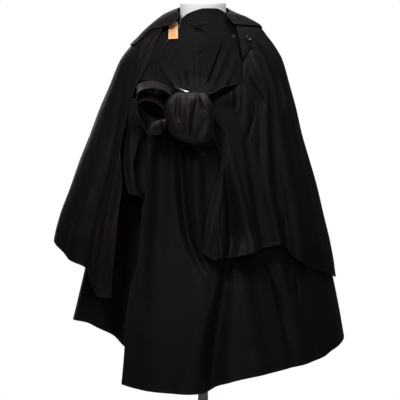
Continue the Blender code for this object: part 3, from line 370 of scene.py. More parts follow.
def smooth(places, values, query):
    """Read a smooth curve through values at rising places, without overshoot."""
    places = np.asarray(places, float)
    values = np.asarray(values, float)
    steps = np.diff(places)
    slopes = np.diff(values) / steps
    product = slopes[:-1] * slopes[1:]
    total = slopes[:-1] + slopes[1:]
    inner = np.where(product > 0, 2 * product / np.where(total == 0, 1, total), 0)
    tangents = np.concatenate(([slopes[0]], inner, [slopes[-1]]))
    cell = np.clip(np.searchsorted(places, query) - 1, 0, len(places) - 2)
    t = np.clip((query - places[cell]) / steps[cell], 0, 1)
    rest = 1 - t
    return (
        values[cell] * rest * rest * (1 + 2 * t)
        + values[cell + 1] * t * t * (3 - 2 * t)
        + steps[cell] * t * rest * (tangents[cell] * rest - tangents[cell + 1] * t))


def ease(value):
    """Smooth step from 0 to 1."""
    t = np.clip(value, 0, 1)
    return t * t * (3 - 2 * t)


def bump(distance):
    """Soft round bump that is 1 at distance 0 and ends at distance 1."""
    return np.where(np.abs(distance) < 1, np.cos(np.clip(distance, -1, 1) * math.pi / 2) ** 2, 0)


def curves_down(rows, height, level=0):
    """Read a table's columns at a height; level is the column that holds the heights."""
    table = np.array(rows, float)
    return [smooth(-table[:, level], column, -height)
            for column in np.delete(table, level, axis=1).T]


class Layer:
    """A layer of cloth: a body of sections with folds, read by angle and height."""

    def __init__(self, sections, folds, back_rise=0, dents=(), ripple=0.0):
        self.sections = sections
        self.folds = folds
        self.back_rise = back_rise
        self.dents = dents
        self.ripple = ripple

    def back_fold_rise(self, angle, height):
        """How far the even folds of the back lift the cloth."""
        turn = np.degrees(angle) % 360
        growth = ease((BACK_FOLD_TOP - height) / BACK_FOLD_GROWTH) * self.back_rise
        rise = np.zeros_like(turn)
        for middle, size in zip(BACK_FOLD_ANGLES, BACK_FOLD_SIZES):
            for share, beside, half, lean in BACK_FOLD_FORMS:
                away = turn - middle - beside - (BACK_FOLD_UPRIGHT - height) * lean
                rise = rise + share * size * bump(away / half)
        return rise * growth

    def uneven_rise(self, angle, height):
        """Soft unevenness, which grows away from the tight neck."""
        rise = np.zeros_like(angle)
        for wave in UNEVEN:
            rise = rise + wave.share * np.sin(
                wave.across * np.sin(angle / 2 + UNEVEN_TURN) + wave.down * height * MM
                + wave.phase)
        return rise * self.ripple * ease((UNEVEN_TOP - height) / UNEVEN_GROWTH)

    def base(self, angle, height):
        """Half-sizes that hold at an angle: across and in depth."""
        left, right, front, back = curves_down(self.sections, height)
        across = np.where(np.sin(angle) >= 0, right, left)
        depth = np.where(np.cos(angle) >= 0, front, back)
        return across, depth

    def point(self, angle, height):
        """Outer face at an angle (radians) and height (mm), in millimetres."""
        across, depth = self.base(angle, height)
        sine, cosine = np.sin(angle), np.cos(angle)
        out_x, out_y = sine / across, -cosine / depth
        length = np.hypot(out_x, out_y)
        rise = (
            folds_at(self.folds, self.dents, across * sine, height) * ease(cosine / FRONT_FADE)
            + self.back_fold_rise(angle, height) + self.uneven_rise(angle, height))
        x = across * sine + out_x / length * rise
        y = -depth * cosine + out_y / length * rise
        return np.stack((x, y, height + 0 * x), axis=-1)

    def normal(self, angle, height):
        """Outward direction of the outer face."""
        turn, drop = NORMAL_TURN, NORMAL_DROP
        across = self.point(angle + turn, height) - self.point(angle - turn, height)
        down = self.point(angle, height - drop) - self.point(angle, height + drop)
        out = np.cross(down, across)
        return out / np.linalg.norm(out, axis=-1, keepdims=True)

    def angle_at(self, x, height):
        """Angle (radians) of a place on the front in the picture plane."""
        left, right, _, _ = curves_down(self.sections, height)
        return np.arcsin(np.clip(x / np.where(x >= 0, right, left), -1, 1))

    def place(self, spot):
        """Angle (radians) and height of a spot in a table."""
        if isinstance(spot, Round):
            return math.radians(spot.angle), float(spot.height)
        x, height = spot
        return float(self.angle_at(x, np.array(float(height)))), float(height)


class Picture:
    """The flat picture plane, for pieces that are laid out in it before they get depth."""

    def place(self, spot):
        """Place of a spot, as x and height."""
        return float(spot[0]), float(spot[1])


class UnderLayer(Layer):
    """The long tier's back, which comes round the left to lie low under the front panel."""

    def base(self, angle, height):
        """Half-sizes, with the front depth of the covered left front."""
        across, depth = super().base(angle, height)
        under, = curves_down(UNDER_FRONT, height)
        return across, np.where(np.cos(angle) >= 0, under, depth)


def folds_at(folds, dents, x, height):
    """Rise of folds and dents at places in the picture plane, in millimetres."""
    rise = np.zeros_like(x)
    for rows in folds.values():
        centre, half, lift = curves_down(rows, height, 1)
        rise = rise + lift * bump((x - centre) / half)
    for middle, level, half_x, half_height, lift in dents:
        rise = rise + lift * bump(np.hypot((x - middle) / half_x, (height - level) / half_height))
    return rise


SHORT = Layer(
    SHORT_SECTIONS, {**SHORT_FOLDS, **SHORT_CREASES}, SHORT_BACK_RISE, SHORT_DENTS, RIPPLE)
LONG_FRONT = Layer(
    LONG_SECTIONS, {**LONG_FOLDS, **LONG_CREASES}, LONG_BACK_RISE, LONG_DENTS, RIPPLE)
LONG_BACK = UnderLayer(LONG_SECTIONS, {}, LONG_BACK_RISE, (), RIPPLE)
NECK = Layer(NECK_SECTIONS, {**NECK_FOLDS, **NECK_CREASES}, dents=NECK_DENTS)
TAIL = Layer(SHORT_SECTIONS, TAIL_CREASES)
PICTURE = Picture()


def edge(layer, spots, places):
    """Points (angle, height) at places from 0 to 1 along an edge that is listed as spots."""
    if isinstance(spots, np.ndarray):
        return spots
    turns = np.array([layer.place(spot) for spot in spots])
    reach = 1.0
    if layer is not PICTURE:
        turns[:, 0] = np.unwrap(turns[:, 0])
        reach = TURN_REACH
    legs = np.hypot(np.diff(turns[:, 0]) * reach, np.diff(turns[:, 1]))
    along = np.concatenate(([0], np.cumsum(np.maximum(legs, LEAST_LEG))))
    query = np.asarray(places) * along[-1]
    return np.stack([smooth(along, turns[:, side], query) for side in range(2)], axis=-1)


def levels(count, crowding=1.0):
    """Rising levels from 0 to 1, closer together near 0 when crowding is above 1."""
    return np.linspace(0, 1, count) ** crowding


def full_turn(count):
    """Angles of a whole turn in equal steps."""
    return np.linspace(0, 2 * math.pi, count, endpoint=False)


def patch(layer, top, lower, left, right, columns, rows):
    """Grid of (angle, height) that fills four edges: rows go down, columns to the right."""
    head, foot = edge(layer, top, columns), edge(layer, lower, columns)
    near, far = edge(layer, left, rows), edge(layer, right, rows)
    u = columns[None, :, None]
    v = rows[:, None, None]
    across = near[:, None] * (1 - u) + far[:, None] * u
    down = head[None] * (1 - v) + foot[None] * v
    corners = (
        (head[0] * (1 - u) + head[-1] * u) * (1 - v) + (foot[0] * (1 - u) + foot[-1] * u) * v)
    return across + down - corners


def inset_sides(layer, grid, left_gap, right_gap):
    """Draw a grid's first and last columns in by a seam's half gap (mm)."""
    moved = grid.copy()
    for column, gap in ((0, left_gap), (-1, -right_gap)):
        angle, height = grid[:, column, 0], grid[:, column, 1]
        across, depth = layer.base(angle, height)
        moved[:, column, 0] += gap / np.hypot(across * np.cos(angle), depth * np.sin(angle))
    return moved


def fine_levels(count, near=0.0, far=0.0, fine=7):
    """Levels from 0 to 1, with fine extra steps in the first and the last share of the way."""
    head = np.linspace(0, near, fine, endpoint=False) if near else np.zeros(0)
    tail = 1 - np.linspace(0, far, fine, endpoint=False)[::-1] if far else np.zeros(0)
    return np.concatenate((head, np.linspace(near, 1 - far, count), tail))


def spans(points):
    """Lengths in metres along the rows, from the middle, and down the columns of a grid."""
    across = np.linalg.norm(np.diff(points, axis=1), axis=2)
    down = np.linalg.norm(np.diff(points, axis=0), axis=2)
    u = np.concatenate((np.zeros((len(points), 1)), np.cumsum(across, axis=1)), axis=1)
    v = np.concatenate((np.zeros((1, points.shape[1])), np.cumsum(down, axis=0)), axis=0)
    return u, v


def welt(distance, width=8.0, rise=0.5, roll=1.2, start=0.3, slope=1.5, groove=0.35,
         groove_half=2.0):
    """Raised turned edge with a stitched groove beside it; lengths in mm, start as a share."""
    return (
        rise * ease(distance / roll + start) * (1 - ease((distance - width) / slope))
        - groove * bump((distance - width - slope) / groove_half))


def edge_distance(points, sides):
    """Distance in mm to the nearest of the named sides of a grid: l, r, t and b."""
    u, v = spans(points)
    kinds = {"l": u, "r": u[:, -1:] - u, "t": v, "b": v[-1:] - v}
    return np.minimum.reduce([kinds[side] for side in sides]) / MM


def sheet_faces(layer, grid, thick, lift=0.0, welted=""):
    """Outer and inner faces of cloth on a layer, lift above it, with welts on named sides."""
    angle, height = grid[..., 0], grid[..., 1]
    point = layer.point(angle, height)
    out = layer.normal(angle, height)
    raised = np.broadcast_to(np.asarray(lift, float), angle.shape)[..., None]
    outer = point + out * raised / MM
    inner = outer - out * thick / MM
    if welted:
        outer = outer + out * welt(edge_distance(outer * MM, welted))[..., None]
    return outer * MM, inner * MM


def placed(name, data):
    """New object in the scene."""
    made = bpy.data.objects.new(name, data)
    bpy.context.scene.collection.objects.link(made)
    return made


def mesh_object(name, verts, faces, uvs=None, wear=None, sharp_angle=50):
    """Closed piece with its faces out, round parts smooth, and its own UV map in metres."""
    mesh = bpy.data.meshes.new(name)
    mesh.from_pydata(np.asarray(verts, float).tolist(), [], faces)
    work = bmesh.new()
    work.from_mesh(mesh)
    bmesh.ops.recalc_face_normals(work, faces=work.faces)
    work.to_mesh(mesh)
    work.free()
    if uvs is not None:
        corner = np.zeros(len(mesh.loops), np.int32)
        mesh.loops.foreach_get("vertex_index", corner)
        mesh.uv_layers.new(name="cloth").data.foreach_set(
            "uv", np.asarray(uvs, np.float32)[corner].ravel())
    if wear is not None:
        layer = mesh.attributes.new("wear", "FLOAT", "POINT")
        layer.data.foreach_set("value", np.asarray(wear, np.float32).ravel())
    mesh.shade_smooth()
    mesh.set_sharp_from_angle(angle=math.radians(sharp_angle))
    return placed(name, mesh)


def wall(name, outer, inner, free="lrtb"):
    """Closed wall of cloth between two grids of points."""
    rows, columns = outer.shape[:2]
    count = rows * columns
    grid = np.arange(count).reshape(rows, columns)
    quads = np.stack((grid[:-1, :-1], grid[:-1, 1:], grid[1:, 1:], grid[1:, :-1]), -1).reshape(-1, 4)
    rim = np.concatenate((grid[0], grid[1:, -1], grid[-1, -2::-1], grid[-2:0:-1, 0]))
    ahead = np.roll(rim, -1)
    sides = np.stack((ahead, rim, rim + count, ahead + count), -1)
    faces = np.concatenate((quads, quads[:, ::-1] + count, sides)).tolist()
    u, v = spans(outer)
    uvs = np.stack((u - u[:, columns // 2:columns // 2 + 1], v), -1).reshape(-1, 2)
    wear = np.exp(-edge_distance(outer, free) / WEAR_REACH).ravel()
    return mesh_object(
        name, np.concatenate((outer.reshape(-1, 3), inner.reshape(-1, 3))), faces,
        np.concatenate((uvs, uvs)), np.concatenate((wear, wear)))


def settle(piece, material, slot, *nodes):
    """Give a finished piece its material, let it ride, and let it stand for nodes. The slot is not
    used.
    """
    piece.data.materials.clear()
    piece.data.materials.append(material)
    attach(piece, "root")
    if nodes:
        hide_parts(*nodes)
    return piece


def cloth(name, faces, material, slot, node, free="lrtb"):
    outer, inner = faces
    piece = settle(wall(name, outer, inner, free), material, slot, *([node] if node else []))
    return piece


def loft(name, rings, sharp_angle=50):
    """Closed solid through rings of points, with a flat cap at each end."""
    rings = np.asarray(rings, float)
    levels_count, count = rings.shape[:2]
    grid = np.arange(levels_count * count).reshape(levels_count, count)
    beside = np.roll(grid, -1, axis=1)
    quads = np.stack((grid[:-1], beside[:-1], beside[1:], grid[1:]), -1).reshape(-1, 4).tolist()
    faces = quads + [grid[0].tolist(), grid[-1].tolist()]
    closed = np.concatenate((rings, rings[:, :1]), axis=1)
    u, v = spans(closed)
    uvs = np.stack((u[:, :-1], v[:, :-1]), -1).reshape(-1, 2)
    return mesh_object(name, rings.reshape(-1, 3), faces, uvs, None, sharp_angle)


def polyline(name, points, closed=False):
    """Curve of straight legs through points."""
    curve = bpy.data.curves.new(name, "CURVE")
    curve.dimensions = "3D"
    spline = curve.splines.new("POLY")
    spline.points.add(len(points) - 1)
    for slot, point in zip(spline.points, points):
        slot.co = (*point, 1.0)
    spline.use_cyclic_u = closed
    return placed(name + "_line", curve)


def plain_mesh(name, line):
    """Smooth plain mesh of what a line draws, in place of the line."""
    mesh = bpy.data.meshes.new_from_object(
        line.evaluated_get(bpy.context.evaluated_depsgraph_get()))
    bpy.data.objects.remove(line, do_unlink=True)
    mesh.shade_smooth()
    return placed(name, mesh)


def wire(name, points, radius, closed=True, sides=12):
    """Round wire along points, as a mesh."""
    line = polyline(name, points, closed)
    line.data.bevel_depth = radius
    line.data.bevel_resolution = sides // 2 - 2
    line.data.use_fill_caps = not closed
    return plain_mesh(name, line)


def linear(code):
    """Linear colour of an sRGB hex code."""
    parts = [int(code[i:i + 2], 16) / 255 for i in (1, 3, 5)]
    return tuple(p / 12.92 if p <= 0.04045 else ((p + 0.055) / 1.055) ** 2.4 for p in parts)


def size_property(name, description, default, low, high):
    """A length that a user can change, in metres."""
    return bpy.props.FloatProperty(
        name=name, description=description, default=default, min=low, max=high,
        subtype="DISTANCE", unit="LENGTH", precision=5)


def colour_property(name, description, code):
    """A colour that a user can change."""
    return bpy.props.FloatVectorProperty(
        name=name, description=description, default=linear(code), size=3, min=0, max=1,
        subtype="COLOR")


class CapeSizes(bpy.types.PropertyGroup):
    """Sizes of the cloth and its sewing."""

    wall: size_property("Tier cloth", "Thickness of the doubled cloth of both tiers", 0.002,
                        0.001, 0.003)
    thin_wall: size_property("Thin cloth", "Thickness of the scarf, facing and neck panel",
                             0.0015, 0.001, 0.002)
    thread_gap: size_property("Twill spacing", "Distance between the twill's lines", 0.0016,
                              0.0004, 0.004)
    stitch_gap: size_property("Stitch spacing", "Distance from one stitch to the next", 0.0046,
                              0.002, 0.01)
    stitch_length: size_property("Stitch length", "Length of one stitch", 0.003, 0.001, 0.006)
    stitch_radius: size_property("Thread radius", "Radius of the sewing thread", 0.00032,
                                 0.0001, 0.001)
    ring_wire: size_property("Ring wire", "Radius of the scarf ring's wire", 0.0016, 0.001, 0.003)


class CapeColours(bpy.types.PropertyGroup):
    """Colours of each finish."""

    wool: colour_property("Wool", "Brown-black satin-faced wool", "#0F0B0C")
    wool_lift: colour_property("Wool, rubbed", "Tone of the wool along its worn edges", "#1A1316")
    # the knot and bow's wool is painted lighter than the tiers' wool, a stand-in for the light that
    # falls on them
    scarf: colour_property("Scarf wool", "Wool of the knot and bow, pulled tight", "#161013")
    reverse: colour_property("Wool, wrong side", "Dull side of the wool on the facing", "#0D0C0C")
    lining: colour_property("Crepe", "Blue-black crepe of the neck panel", "#0E0D10")
    form: colour_property("Form cover", "White jersey of the dress form", "#E6E6E8")
    label: colour_property("Label", "Plain woven tape", "#C98E5C")
    button: colour_property("Button", "Black polyester", "#060607")
    steel: colour_property("Steel", "Plated steel of ring, hook and stand", "#C9CBCE")
    floor: colour_property("Floor", "Matt studio floor", "#F4F4F3")


class CapeStage(bpy.types.PropertyGroup):
    """Camera and light of the studio."""

    distance: size_property("Camera distance", "From the camera to the stand's axis", 30.0, 4, 60)
    width: size_property("Picture width", "Width that the camera takes in at the axis", 1.04,
                         0.5, 3)
    key: bpy.props.FloatProperty(
        name="Key light", description="Power of the large front light", default=120, min=0,
        max=2000, unit="POWER")


def add_node(tree, kind, inputs=None, **settings):
    """Add a node with its settings; an input's value is a number, a colour or a socket."""
    made = tree.nodes.new(kind)
    for key, value in settings.items():
        setattr(made, key, value)
    for key, value in (inputs or {}).items():
        if isinstance(value, bpy.types.NodeSocket):
            tree.links.new(value, made.inputs[key])
        else:
            made.inputs[key].default_value = value
    return made


def new_material(name, colour, roughness, **sockets):
    """A material with its shader, and the shader's own constants."""
    found = bpy.data.materials.new(name)
    found.use_nodes = True
    shader = found.node_tree.nodes["Principled BSDF"]
    shader.inputs["Base Color"].default_value = (*colour, 1)
    shader.inputs["Roughness"].default_value = roughness
    for key, value in sockets.items():
        shader.inputs[key.replace("_", " ")].default_value = value
    return found, found.node_tree, shader


def noise(tree, place, scale, detail, roughness):
    """Noise of a scale, in places that a socket gives."""
    return add_node(tree, "ShaderNodeTexNoise", {
        "Vector": place, "Scale": scale, "Detail": detail, "Roughness": roughness}).outputs["Fac"]


def spread_out(tree, value, low, high, reach=0.2):
    """Map the middle of a noise's range, within reach of a half, to a low and a high value."""
    return add_node(tree, "ShaderNodeMapRange", {
        "Value": value, "From Min": 0.5 - reach, "From Max": 0.5 + reach, "To Min": low,
        "To Max": high}).outputs["Result"]


def link_up(tree, shader, colour, tone, gloss, relief, strength, height):
    """Give a shader a colour scaled by a tone, its roughness, and a bump of a real height."""
    shade = add_node(tree, "ShaderNodeVectorMath", {0: colour}, operation="SCALE")
    bumped = add_node(tree, "ShaderNodeBump", {
        "Height": relief, "Strength": strength, "Distance": height})
    for socket, taker in (
            (tone, shade.inputs["Scale"]), (shade.outputs["Vector"], shader.inputs["Base Color"]),
            (gloss, shader.inputs["Roughness"]),
            (bumped.outputs["Normal"], shader.inputs["Normal"])):
        tree.links.new(socket, taker)


TWILL_PERIOD = 0.628            # a diagonal band repeats every so much over its scale
GLOSS_SPREAD, SLUB_TONE = 0.07, 0.12    # how far roughness and tone vary


def woven(name, colour, worn, roughness, spacing, weave_height, tone_and_sheen_streak, **sockets):
    """Woven cloth: twill lines, slubs, long soft streaks of tone that are partly random and partly a
    painted satin sheen, and paler rubbed edges.
    """
    made, tree, shader = new_material(name, colour, roughness, **sockets)
    spot = add_node(tree, "ShaderNodeUVMap", uv_map="cloth").outputs["UV"]
    twill = add_node(tree, "ShaderNodeTexWave", {
        "Vector": spot, "Scale": TWILL_PERIOD / spacing, "Distortion": 0.6, "Detail": 1.0,
        "Detail Scale": 1.5}, wave_type="BANDS", bands_direction="DIAGONAL").outputs["Fac"]
    slub, tone_and_sheen_streaks = (
        noise(tree, add_node(tree, "ShaderNodeMapping", {
            "Vector": spot, "Scale": stretch}).outputs["Vector"], 1.0, detail, rough)
        for stretch, detail, rough in (((220, 30, 1), 3.0, 0.6), ((16, 2.2, 1), 4.0, 0.55)))
    # the streaks lighten the colour in long bands, partly as random tone and partly as a painted
    # satin sheen; the roughness drops along them
    broad = spread_out(tree, tone_and_sheen_streaks, 1 - tone_and_sheen_streak, 1 + tone_and_sheen_streak)
    wear = add_node(tree, "ShaderNodeAttribute", attribute_name="wear").outputs["Fac"]
    rubbed = add_node(tree, "ShaderNodeMix", {
        "Factor": wear, "A": (*colour, 1), "B": (*worn, 1)}, data_type="RGBA").outputs["Result"]
    fine = spread_out(tree, slub, 1 - SLUB_TONE, 1 + SLUB_TONE, 0.25)
    tone = add_node(tree, "ShaderNodeMath", {0: broad, 1: fine}, operation="MULTIPLY")
    gloss = spread_out(tree, tone_and_sheen_streaks, roughness + GLOSS_SPREAD, roughness - GLOSS_SPREAD)
    relief = add_node(tree, "ShaderNodeMath", {0: twill, 1: slub}, operation="ADD")
    link_up(tree, shader, rubbed, tone.outputs["Value"], gloss, relief.outputs["Value"], 0.5,
            weave_height)
    return made


def mottled(name, colour, roughness, scale, spread, grain_height, **sockets):
    """Smooth hard or knitted surface with slight unevenness of tone, gloss and grain."""
    made, tree, shader = new_material(name, colour, roughness, **sockets)
    spot = add_node(tree, "ShaderNodeTexCoord").outputs["Object"]
    cloud, grain = noise(tree, spot, scale, 5.0, 0.6), noise(tree, spot, scale * 30, 2.0, 0.5)
    shade = spread_out(tree, cloud, 1 - spread, 1.0)
    gloss = spread_out(tree, grain, roughness * 0.85, roughness * 1.2)
    link_up(tree, shader, colour, shade, gloss, grain, 0.4, grain_height)
    return made


WEAVE_HEIGHT, PLATING_GRAIN = 0.00012, 0.00001


def sheen(weight, roughness, code):
    """Soft glow of a cloth's loose fibres, as shader constants."""
    return {"Sheen_Weight": weight, "Sheen_Roughness": roughness, "Sheen_Tint": (*linear(code), 1)}


def finish(name):
    """Return a finish by name, made once from the user's colours."""
    found = bpy.data.materials.get(name)
    if found:
        return found
    tints = bpy.context.scene.cape_colours
    lift = tuple(tints.wool_lift)
    twill = {"spacing": bpy.context.scene.cape_sizes.thread_gap, "weave_height": WEAVE_HEIGHT}
    if name == "satin_faced_wool":
        # worsted wool with a smooth face: a low broad sheen and almost no mirror gloss. The
        # real twill is 0.5 mm; it is drawn coarser so that it shows
        return woven(name, tuple(tints.wool), lift, roughness=0.58, tone_and_sheen_streak=0.07, **twill,
                     Specular_IOR_Level=0.062, **sheen(0.014, 0.4, "#8C7C7C"))
    if name == "scarf_wool_painted_lighter":
        # the same wool round the knot and bow: its colour is painted lighter, standing in for the
        # light that they catch, and it is a little glossier
        return woven(name, tuple(tints.scarf), lift, roughness=0.48, tone_and_sheen_streak=0.12, **twill,
                     Specular_IOR_Level=0.12, **sheen(0.02, 0.4, "#8C7C7C"))
    if name == "wool_reverse":
        # the dull side of the same wool, turned out along the facing
        return woven(name, tuple(tints.reverse), lift, roughness=0.62, tone_and_sheen_streak=0.1, **twill,
                     Specular_IOR_Level=0.03, **sheen(0.006, 0.5, "#807C7C"))
    if name == "wool_crepe":
        # crepe yarns are twisted hard, so the neck panel is matt with a fine dry grain
        return woven(name, tuple(tints.lining), linear("#1B191A"), roughness=0.62, tone_and_sheen_streak=0.1,
                     spacing=0.0012, weave_height=0.0001, Specular_IOR_Level=0.03,
                     **sheen(0.006, 0.5, "#8A8E99"))
    if name == "cotton_jersey":
        # fine knit pulled smooth over padding: white, matt and faintly uneven
        return mottled(name, tuple(tints.form), roughness=0.75, scale=9, spread=0.05,
                       grain_height=0.00006, Specular_IOR_Level=0.3, Sheen_Weight=0.1)
    if name == "chromed_steel":
        # polished plating: bright, with the faint haze of handling
        return mottled(name, tuple(tints.steel), roughness=0.14, scale=14, spread=0.06,
                       grain_height=PLATING_GRAIN, Metallic=1.0)
    if name == "dull_steel":
        # small plain hook, less polished than the ring
        return mottled(name, linear("#6E6F73"), roughness=0.4, scale=60, spread=0.2,
                       grain_height=PLATING_GRAIN, Metallic=1.0)
    if name == "woven_tape":
        # polyester tape: close ribs and a soft shine
        return woven(name, tuple(tints.label), linear("#DDB083"), roughness=0.6, tone_and_sheen_streak=0.06,
                     spacing=0.0011, weave_height=WEAVE_HEIGHT, Specular_IOR_Level=0.3)
    if name == "polyester_button":
        # cast polyester, turned and polished: a deep black gloss
        return mottled(name, tuple(tints.button), roughness=0.2, scale=40, spread=0.2,
                       grain_height=PLATING_GRAIN, IOR=1.5, Specular_IOR_Level=0.35)
    if name == "sewing_thread":
        # mercerised cotton in black: round, slightly shinier than the wool
        return mottled(name, linear("#120F10"), roughness=0.6, scale=300, spread=0.3,
                       grain_height=0.00002, Specular_IOR_Level=0.08)
    if name == "studio_floor":
        # matt painted board
        return mottled(name, tuple(tints.floor), roughness=0.85, scale=2, spread=0.02,
                       grain_height=0.0001)
    raise ValueError(name)


# Grids: rows go down, columns to the right; the fine steps carry the turned edges
BODY_ROWS = fine_levels(90, 0, 0.022)
HEM_ROWS = fine_levels(84, 0, 0.02)
BACK_COLUMNS, YOKE_COLUMNS = levels(190), levels(150)
LEFT_COLUMNS, DRAPE_COLUMNS = fine_levels(96, 0, 0.06), fine_levels(170, 0.036, 0)
LONG_COLUMNS = fine_levels(170, 0.04, 0)
GRIDS = {
    # columns and rows of the smaller pieces
    "turn_back": (24, 110), "neck_panel": (120, 110), "roll": (200, 26), "facing": (40, 80),
    "label": (24, 40), "tail": (50, 90), "loop": (150, 40), "lip": (80, 24), "fold": (36, 24),
    "gather": (140, 50), "knot": (220, 110),
}
LEFT_SEAM = (Round(-SEAM_ANGLE, 1470), Round(-SEAM_ANGLE, 1180), Round(-SEAM_ANGLE, 889))
RIGHT_SEAM = (Round(SEAM_ANGLE, 1470), Round(SEAM_ANGLE, 1130), Round(SEAM_ANGLE, 794))
BACK_LEFT_SEAM = tuple(Round(360 + spot.angle, spot.height) for spot in LEFT_SEAM)
YOKE_LEVEL = (4 / 15) ** 1.25    # share of the short back at which the long tier is sewn on
YOKE_ROWS, YOKE_REACH, YOKE_FADE = 16, 0.14, 16    # rows, share of the drop, columns at an end
TURN_BACK_EDGE = (
    (4, 1266), (8, 1230), (15, 1190), (26, 1150), (42, 1116), (48, 1088), (42, 1056), (28, 1014),
    (11, 949), (3, 905), (-3, 852))
TURN_BACK_DROP, TURN_BACK_START = 9, 0.02    # mm in at its free edge, share of the edge left off

# The long front's top lies this far in, above a height and before an angle (mm and radians)
SINK, SINK_HEIGHT, SINK_RISE, SINK_TURN, SINK_TURN_FADE = 9, 1225, 40, 1.5, 0.6


def grid_of(piece):
    """Levels across and down of a smaller piece."""
    columns, rows = GRIDS[piece]
    return levels(columns), levels(rows)


def back_grid(columns, rows):
    """Grid of the short back, at levels across and down."""
    return patch(SHORT, SHORT_BACK_TOP, SHORT_BACK_HEM, RIGHT_SEAM, BACK_LEFT_SEAM, columns, rows)


class CAPE_OT_short_tier(bpy.types.Operator):
    """Build the short tier: back, left front, draped right front and its turned edge"""

    bl_idname = "cape.short_tier"
    bl_label = "Short tier"

    def execute(self, context):
        thick = context.scene.cape_sizes.wall
        wool = finish("satin_faced_wool")
        left = patch(SHORT, SHORT_LEFT_TOP, SHORT_LEFT_HEM, LEFT_SEAM, SHORT_LEFT_EDGE,
                     LEFT_COLUMNS, BODY_ROWS)
        right = patch(SHORT, DRAPE_TOP, DRAPE_HEM, DRAPE_EDGE, RIGHT_SEAM, DRAPE_COLUMNS, BODY_ROWS)
        for name, node, grid, left_gap, right_gap, free in (
                ("short_back_cloth", "short_back", back_grid(BACK_COLUMNS, BODY_ROWS), HALF_SEAM,
                 HALF_SEAM, "b"),
                ("short_left_cloth", "short_left_front", left, HALF_SEAM, 0, "rb"),
                ("short_right_cloth", "short_right_front", right, 0, HALF_SEAM, "lb")):
            grid = inset_sides(SHORT, grid, left_gap, right_gap)
            cloth(name, sheet_faces(SHORT, grid, thick, 0, free), wool, "wool", node,
                  free)
        self.turn_back(thick, wool)
        return {"FINISHED"}

    @staticmethod
    def turn_back(thick, wool):
        """Strip that turns back from the drape's leading edge, and widens up to the knot."""
        across, rows = grid_of("turn_back")
        free = edge(SHORT, DRAPE_EDGE, TURN_BACK_START + (1 - TURN_BACK_START) * rows)
        free[:, 0] += SEAM_GAP / TURN_REACH
        top, lower = (
            start + (end - start) * across[:, None] for start, end in (
                (np.array(SHORT.place(TURN_BACK_EDGE[0])), free[0]),
                (np.array(SHORT.place(TURN_BACK_EDGE[-1])), free[-1])))
        grid = patch(SHORT, top, lower, TURN_BACK_EDGE, free, across, rows)
        drop = thick + SEAT_GAP + TURN_BACK_DROP * MM * (1 - ease(across))[None, :]
        cloth("drape_turn_back", sheet_faces(SHORT, grid, thick, -drop, "l"), wool, "wool",
              "drape_facing", "lb")


class CAPE_OT_long_tier(bpy.types.Operator):
    """Build the long tier: front panel, and the back that hangs from the yoke"""

    bl_idname = "cape.long_tier"
    bl_label = "Long tier"

    def execute(self, context):
        thick = context.scene.cape_sizes.wall
        wool = finish("satin_faced_wool")
        yoke = back_grid(YOKE_COLUMNS, np.array([YOKE_LEVEL]))[0]
        start = Round(SEAM_ANGLE, yoke[0, 1])
        seam = (start, Round(SEAM_ANGLE, 990), Round(SEAM_ANGLE, LONG_HEM[-1].height))
        grid = patch(LONG_FRONT, LONG_TOP + (start,), LONG_HEM, LONG_LEFT_EDGE, seam,
                     LONG_COLUMNS, HEM_ROWS)
        grid = inset_sides(LONG_FRONT, grid, 0, HALF_SEAM)
        sunk = -SINK * MM * ease((grid[..., 1] - SINK_HEIGHT) / SINK_RISE) * ease(
            (SINK_TURN - grid[..., 0]) / SINK_TURN_FADE)
        cloth("long_front_cloth", sheet_faces(LONG_FRONT, grid, thick, sunk, "lb"), wool, "wool",
              "long_front", "lb")

        corner = Round(math.degrees(yoke[-1, 0]), yoke[-1, 1])
        head = np.concatenate((yoke, edge(LONG_BACK, (corner,) + UNDER_TOP, levels(50))[1:]))
        grid = patch(LONG_BACK, head, UNDER_HEM, seam, UNDER_EDGE, levels(len(head)), HEM_ROWS)
        faces = sheet_faces(LONG_BACK, inset_sides(LONG_BACK, grid, HALF_SEAM, 0), thick, 0, "b")
        # the top is drawn in under the short back, where it is sewn, and hangs free below
        place = np.arange(len(yoke))
        share = ease(place / YOKE_FADE) * ease((len(yoke) - 1 - place) / YOKE_FADE)
        fade = 1 - ease(BODY_ROWS[:YOKE_ROWS] / YOKE_REACH)
        for face, sewn in zip(faces, sheet_faces(SHORT, yoke, thick, -(thick + SEAT_GAP))):
            pull = (sewn - face[0, :len(yoke)]) * share[:, None]
            face[:YOKE_ROWS, :len(yoke)] += pull * fade[:, None, None]
        cloth("long_back_cloth", faces, wool, "wool", "long_back",
              "b")
        return {"FINISHED"}


def facing_faces(grid, thick, sizes, lift=0.0):
    """Faces of cloth that runs from under the short tier's edge to the top of the neck panel."""
    x, height = grid[..., 0], grid[..., 1]
    (outer_x,), (inner_x,) = (
        curves_down(spots, height, 1) for spots in (FACING_OUTER, FACING_INNER))
    share = ease((x - outer_x) / (inner_x - outer_x))
    under = sheet_faces(
        SHORT, np.stack((SHORT.angle_at(x, height), height), -1), thick,
        lift - sizes.wall - 3 * LAY_GAP)
    over = sheet_faces(
        NECK, np.stack((NECK.angle_at(x, height), height), -1), thick,
        lift + sizes.thin_wall + 2 * LAY_GAP)
    return [near + (far - near) * share[..., None] for near, far in zip(under, over)]


# Swell of the shoulder roll: mm, its share at the left end and the way over which that grows,
# how fast it falls off towards the lower edge, and the share that it keeps there
ROLL_SWELL, ROLL_START_SHARE, ROLL_START_REACH, ROLL_FALL, ROLL_END = 5, 0.25, 0.3, 3, 0.3


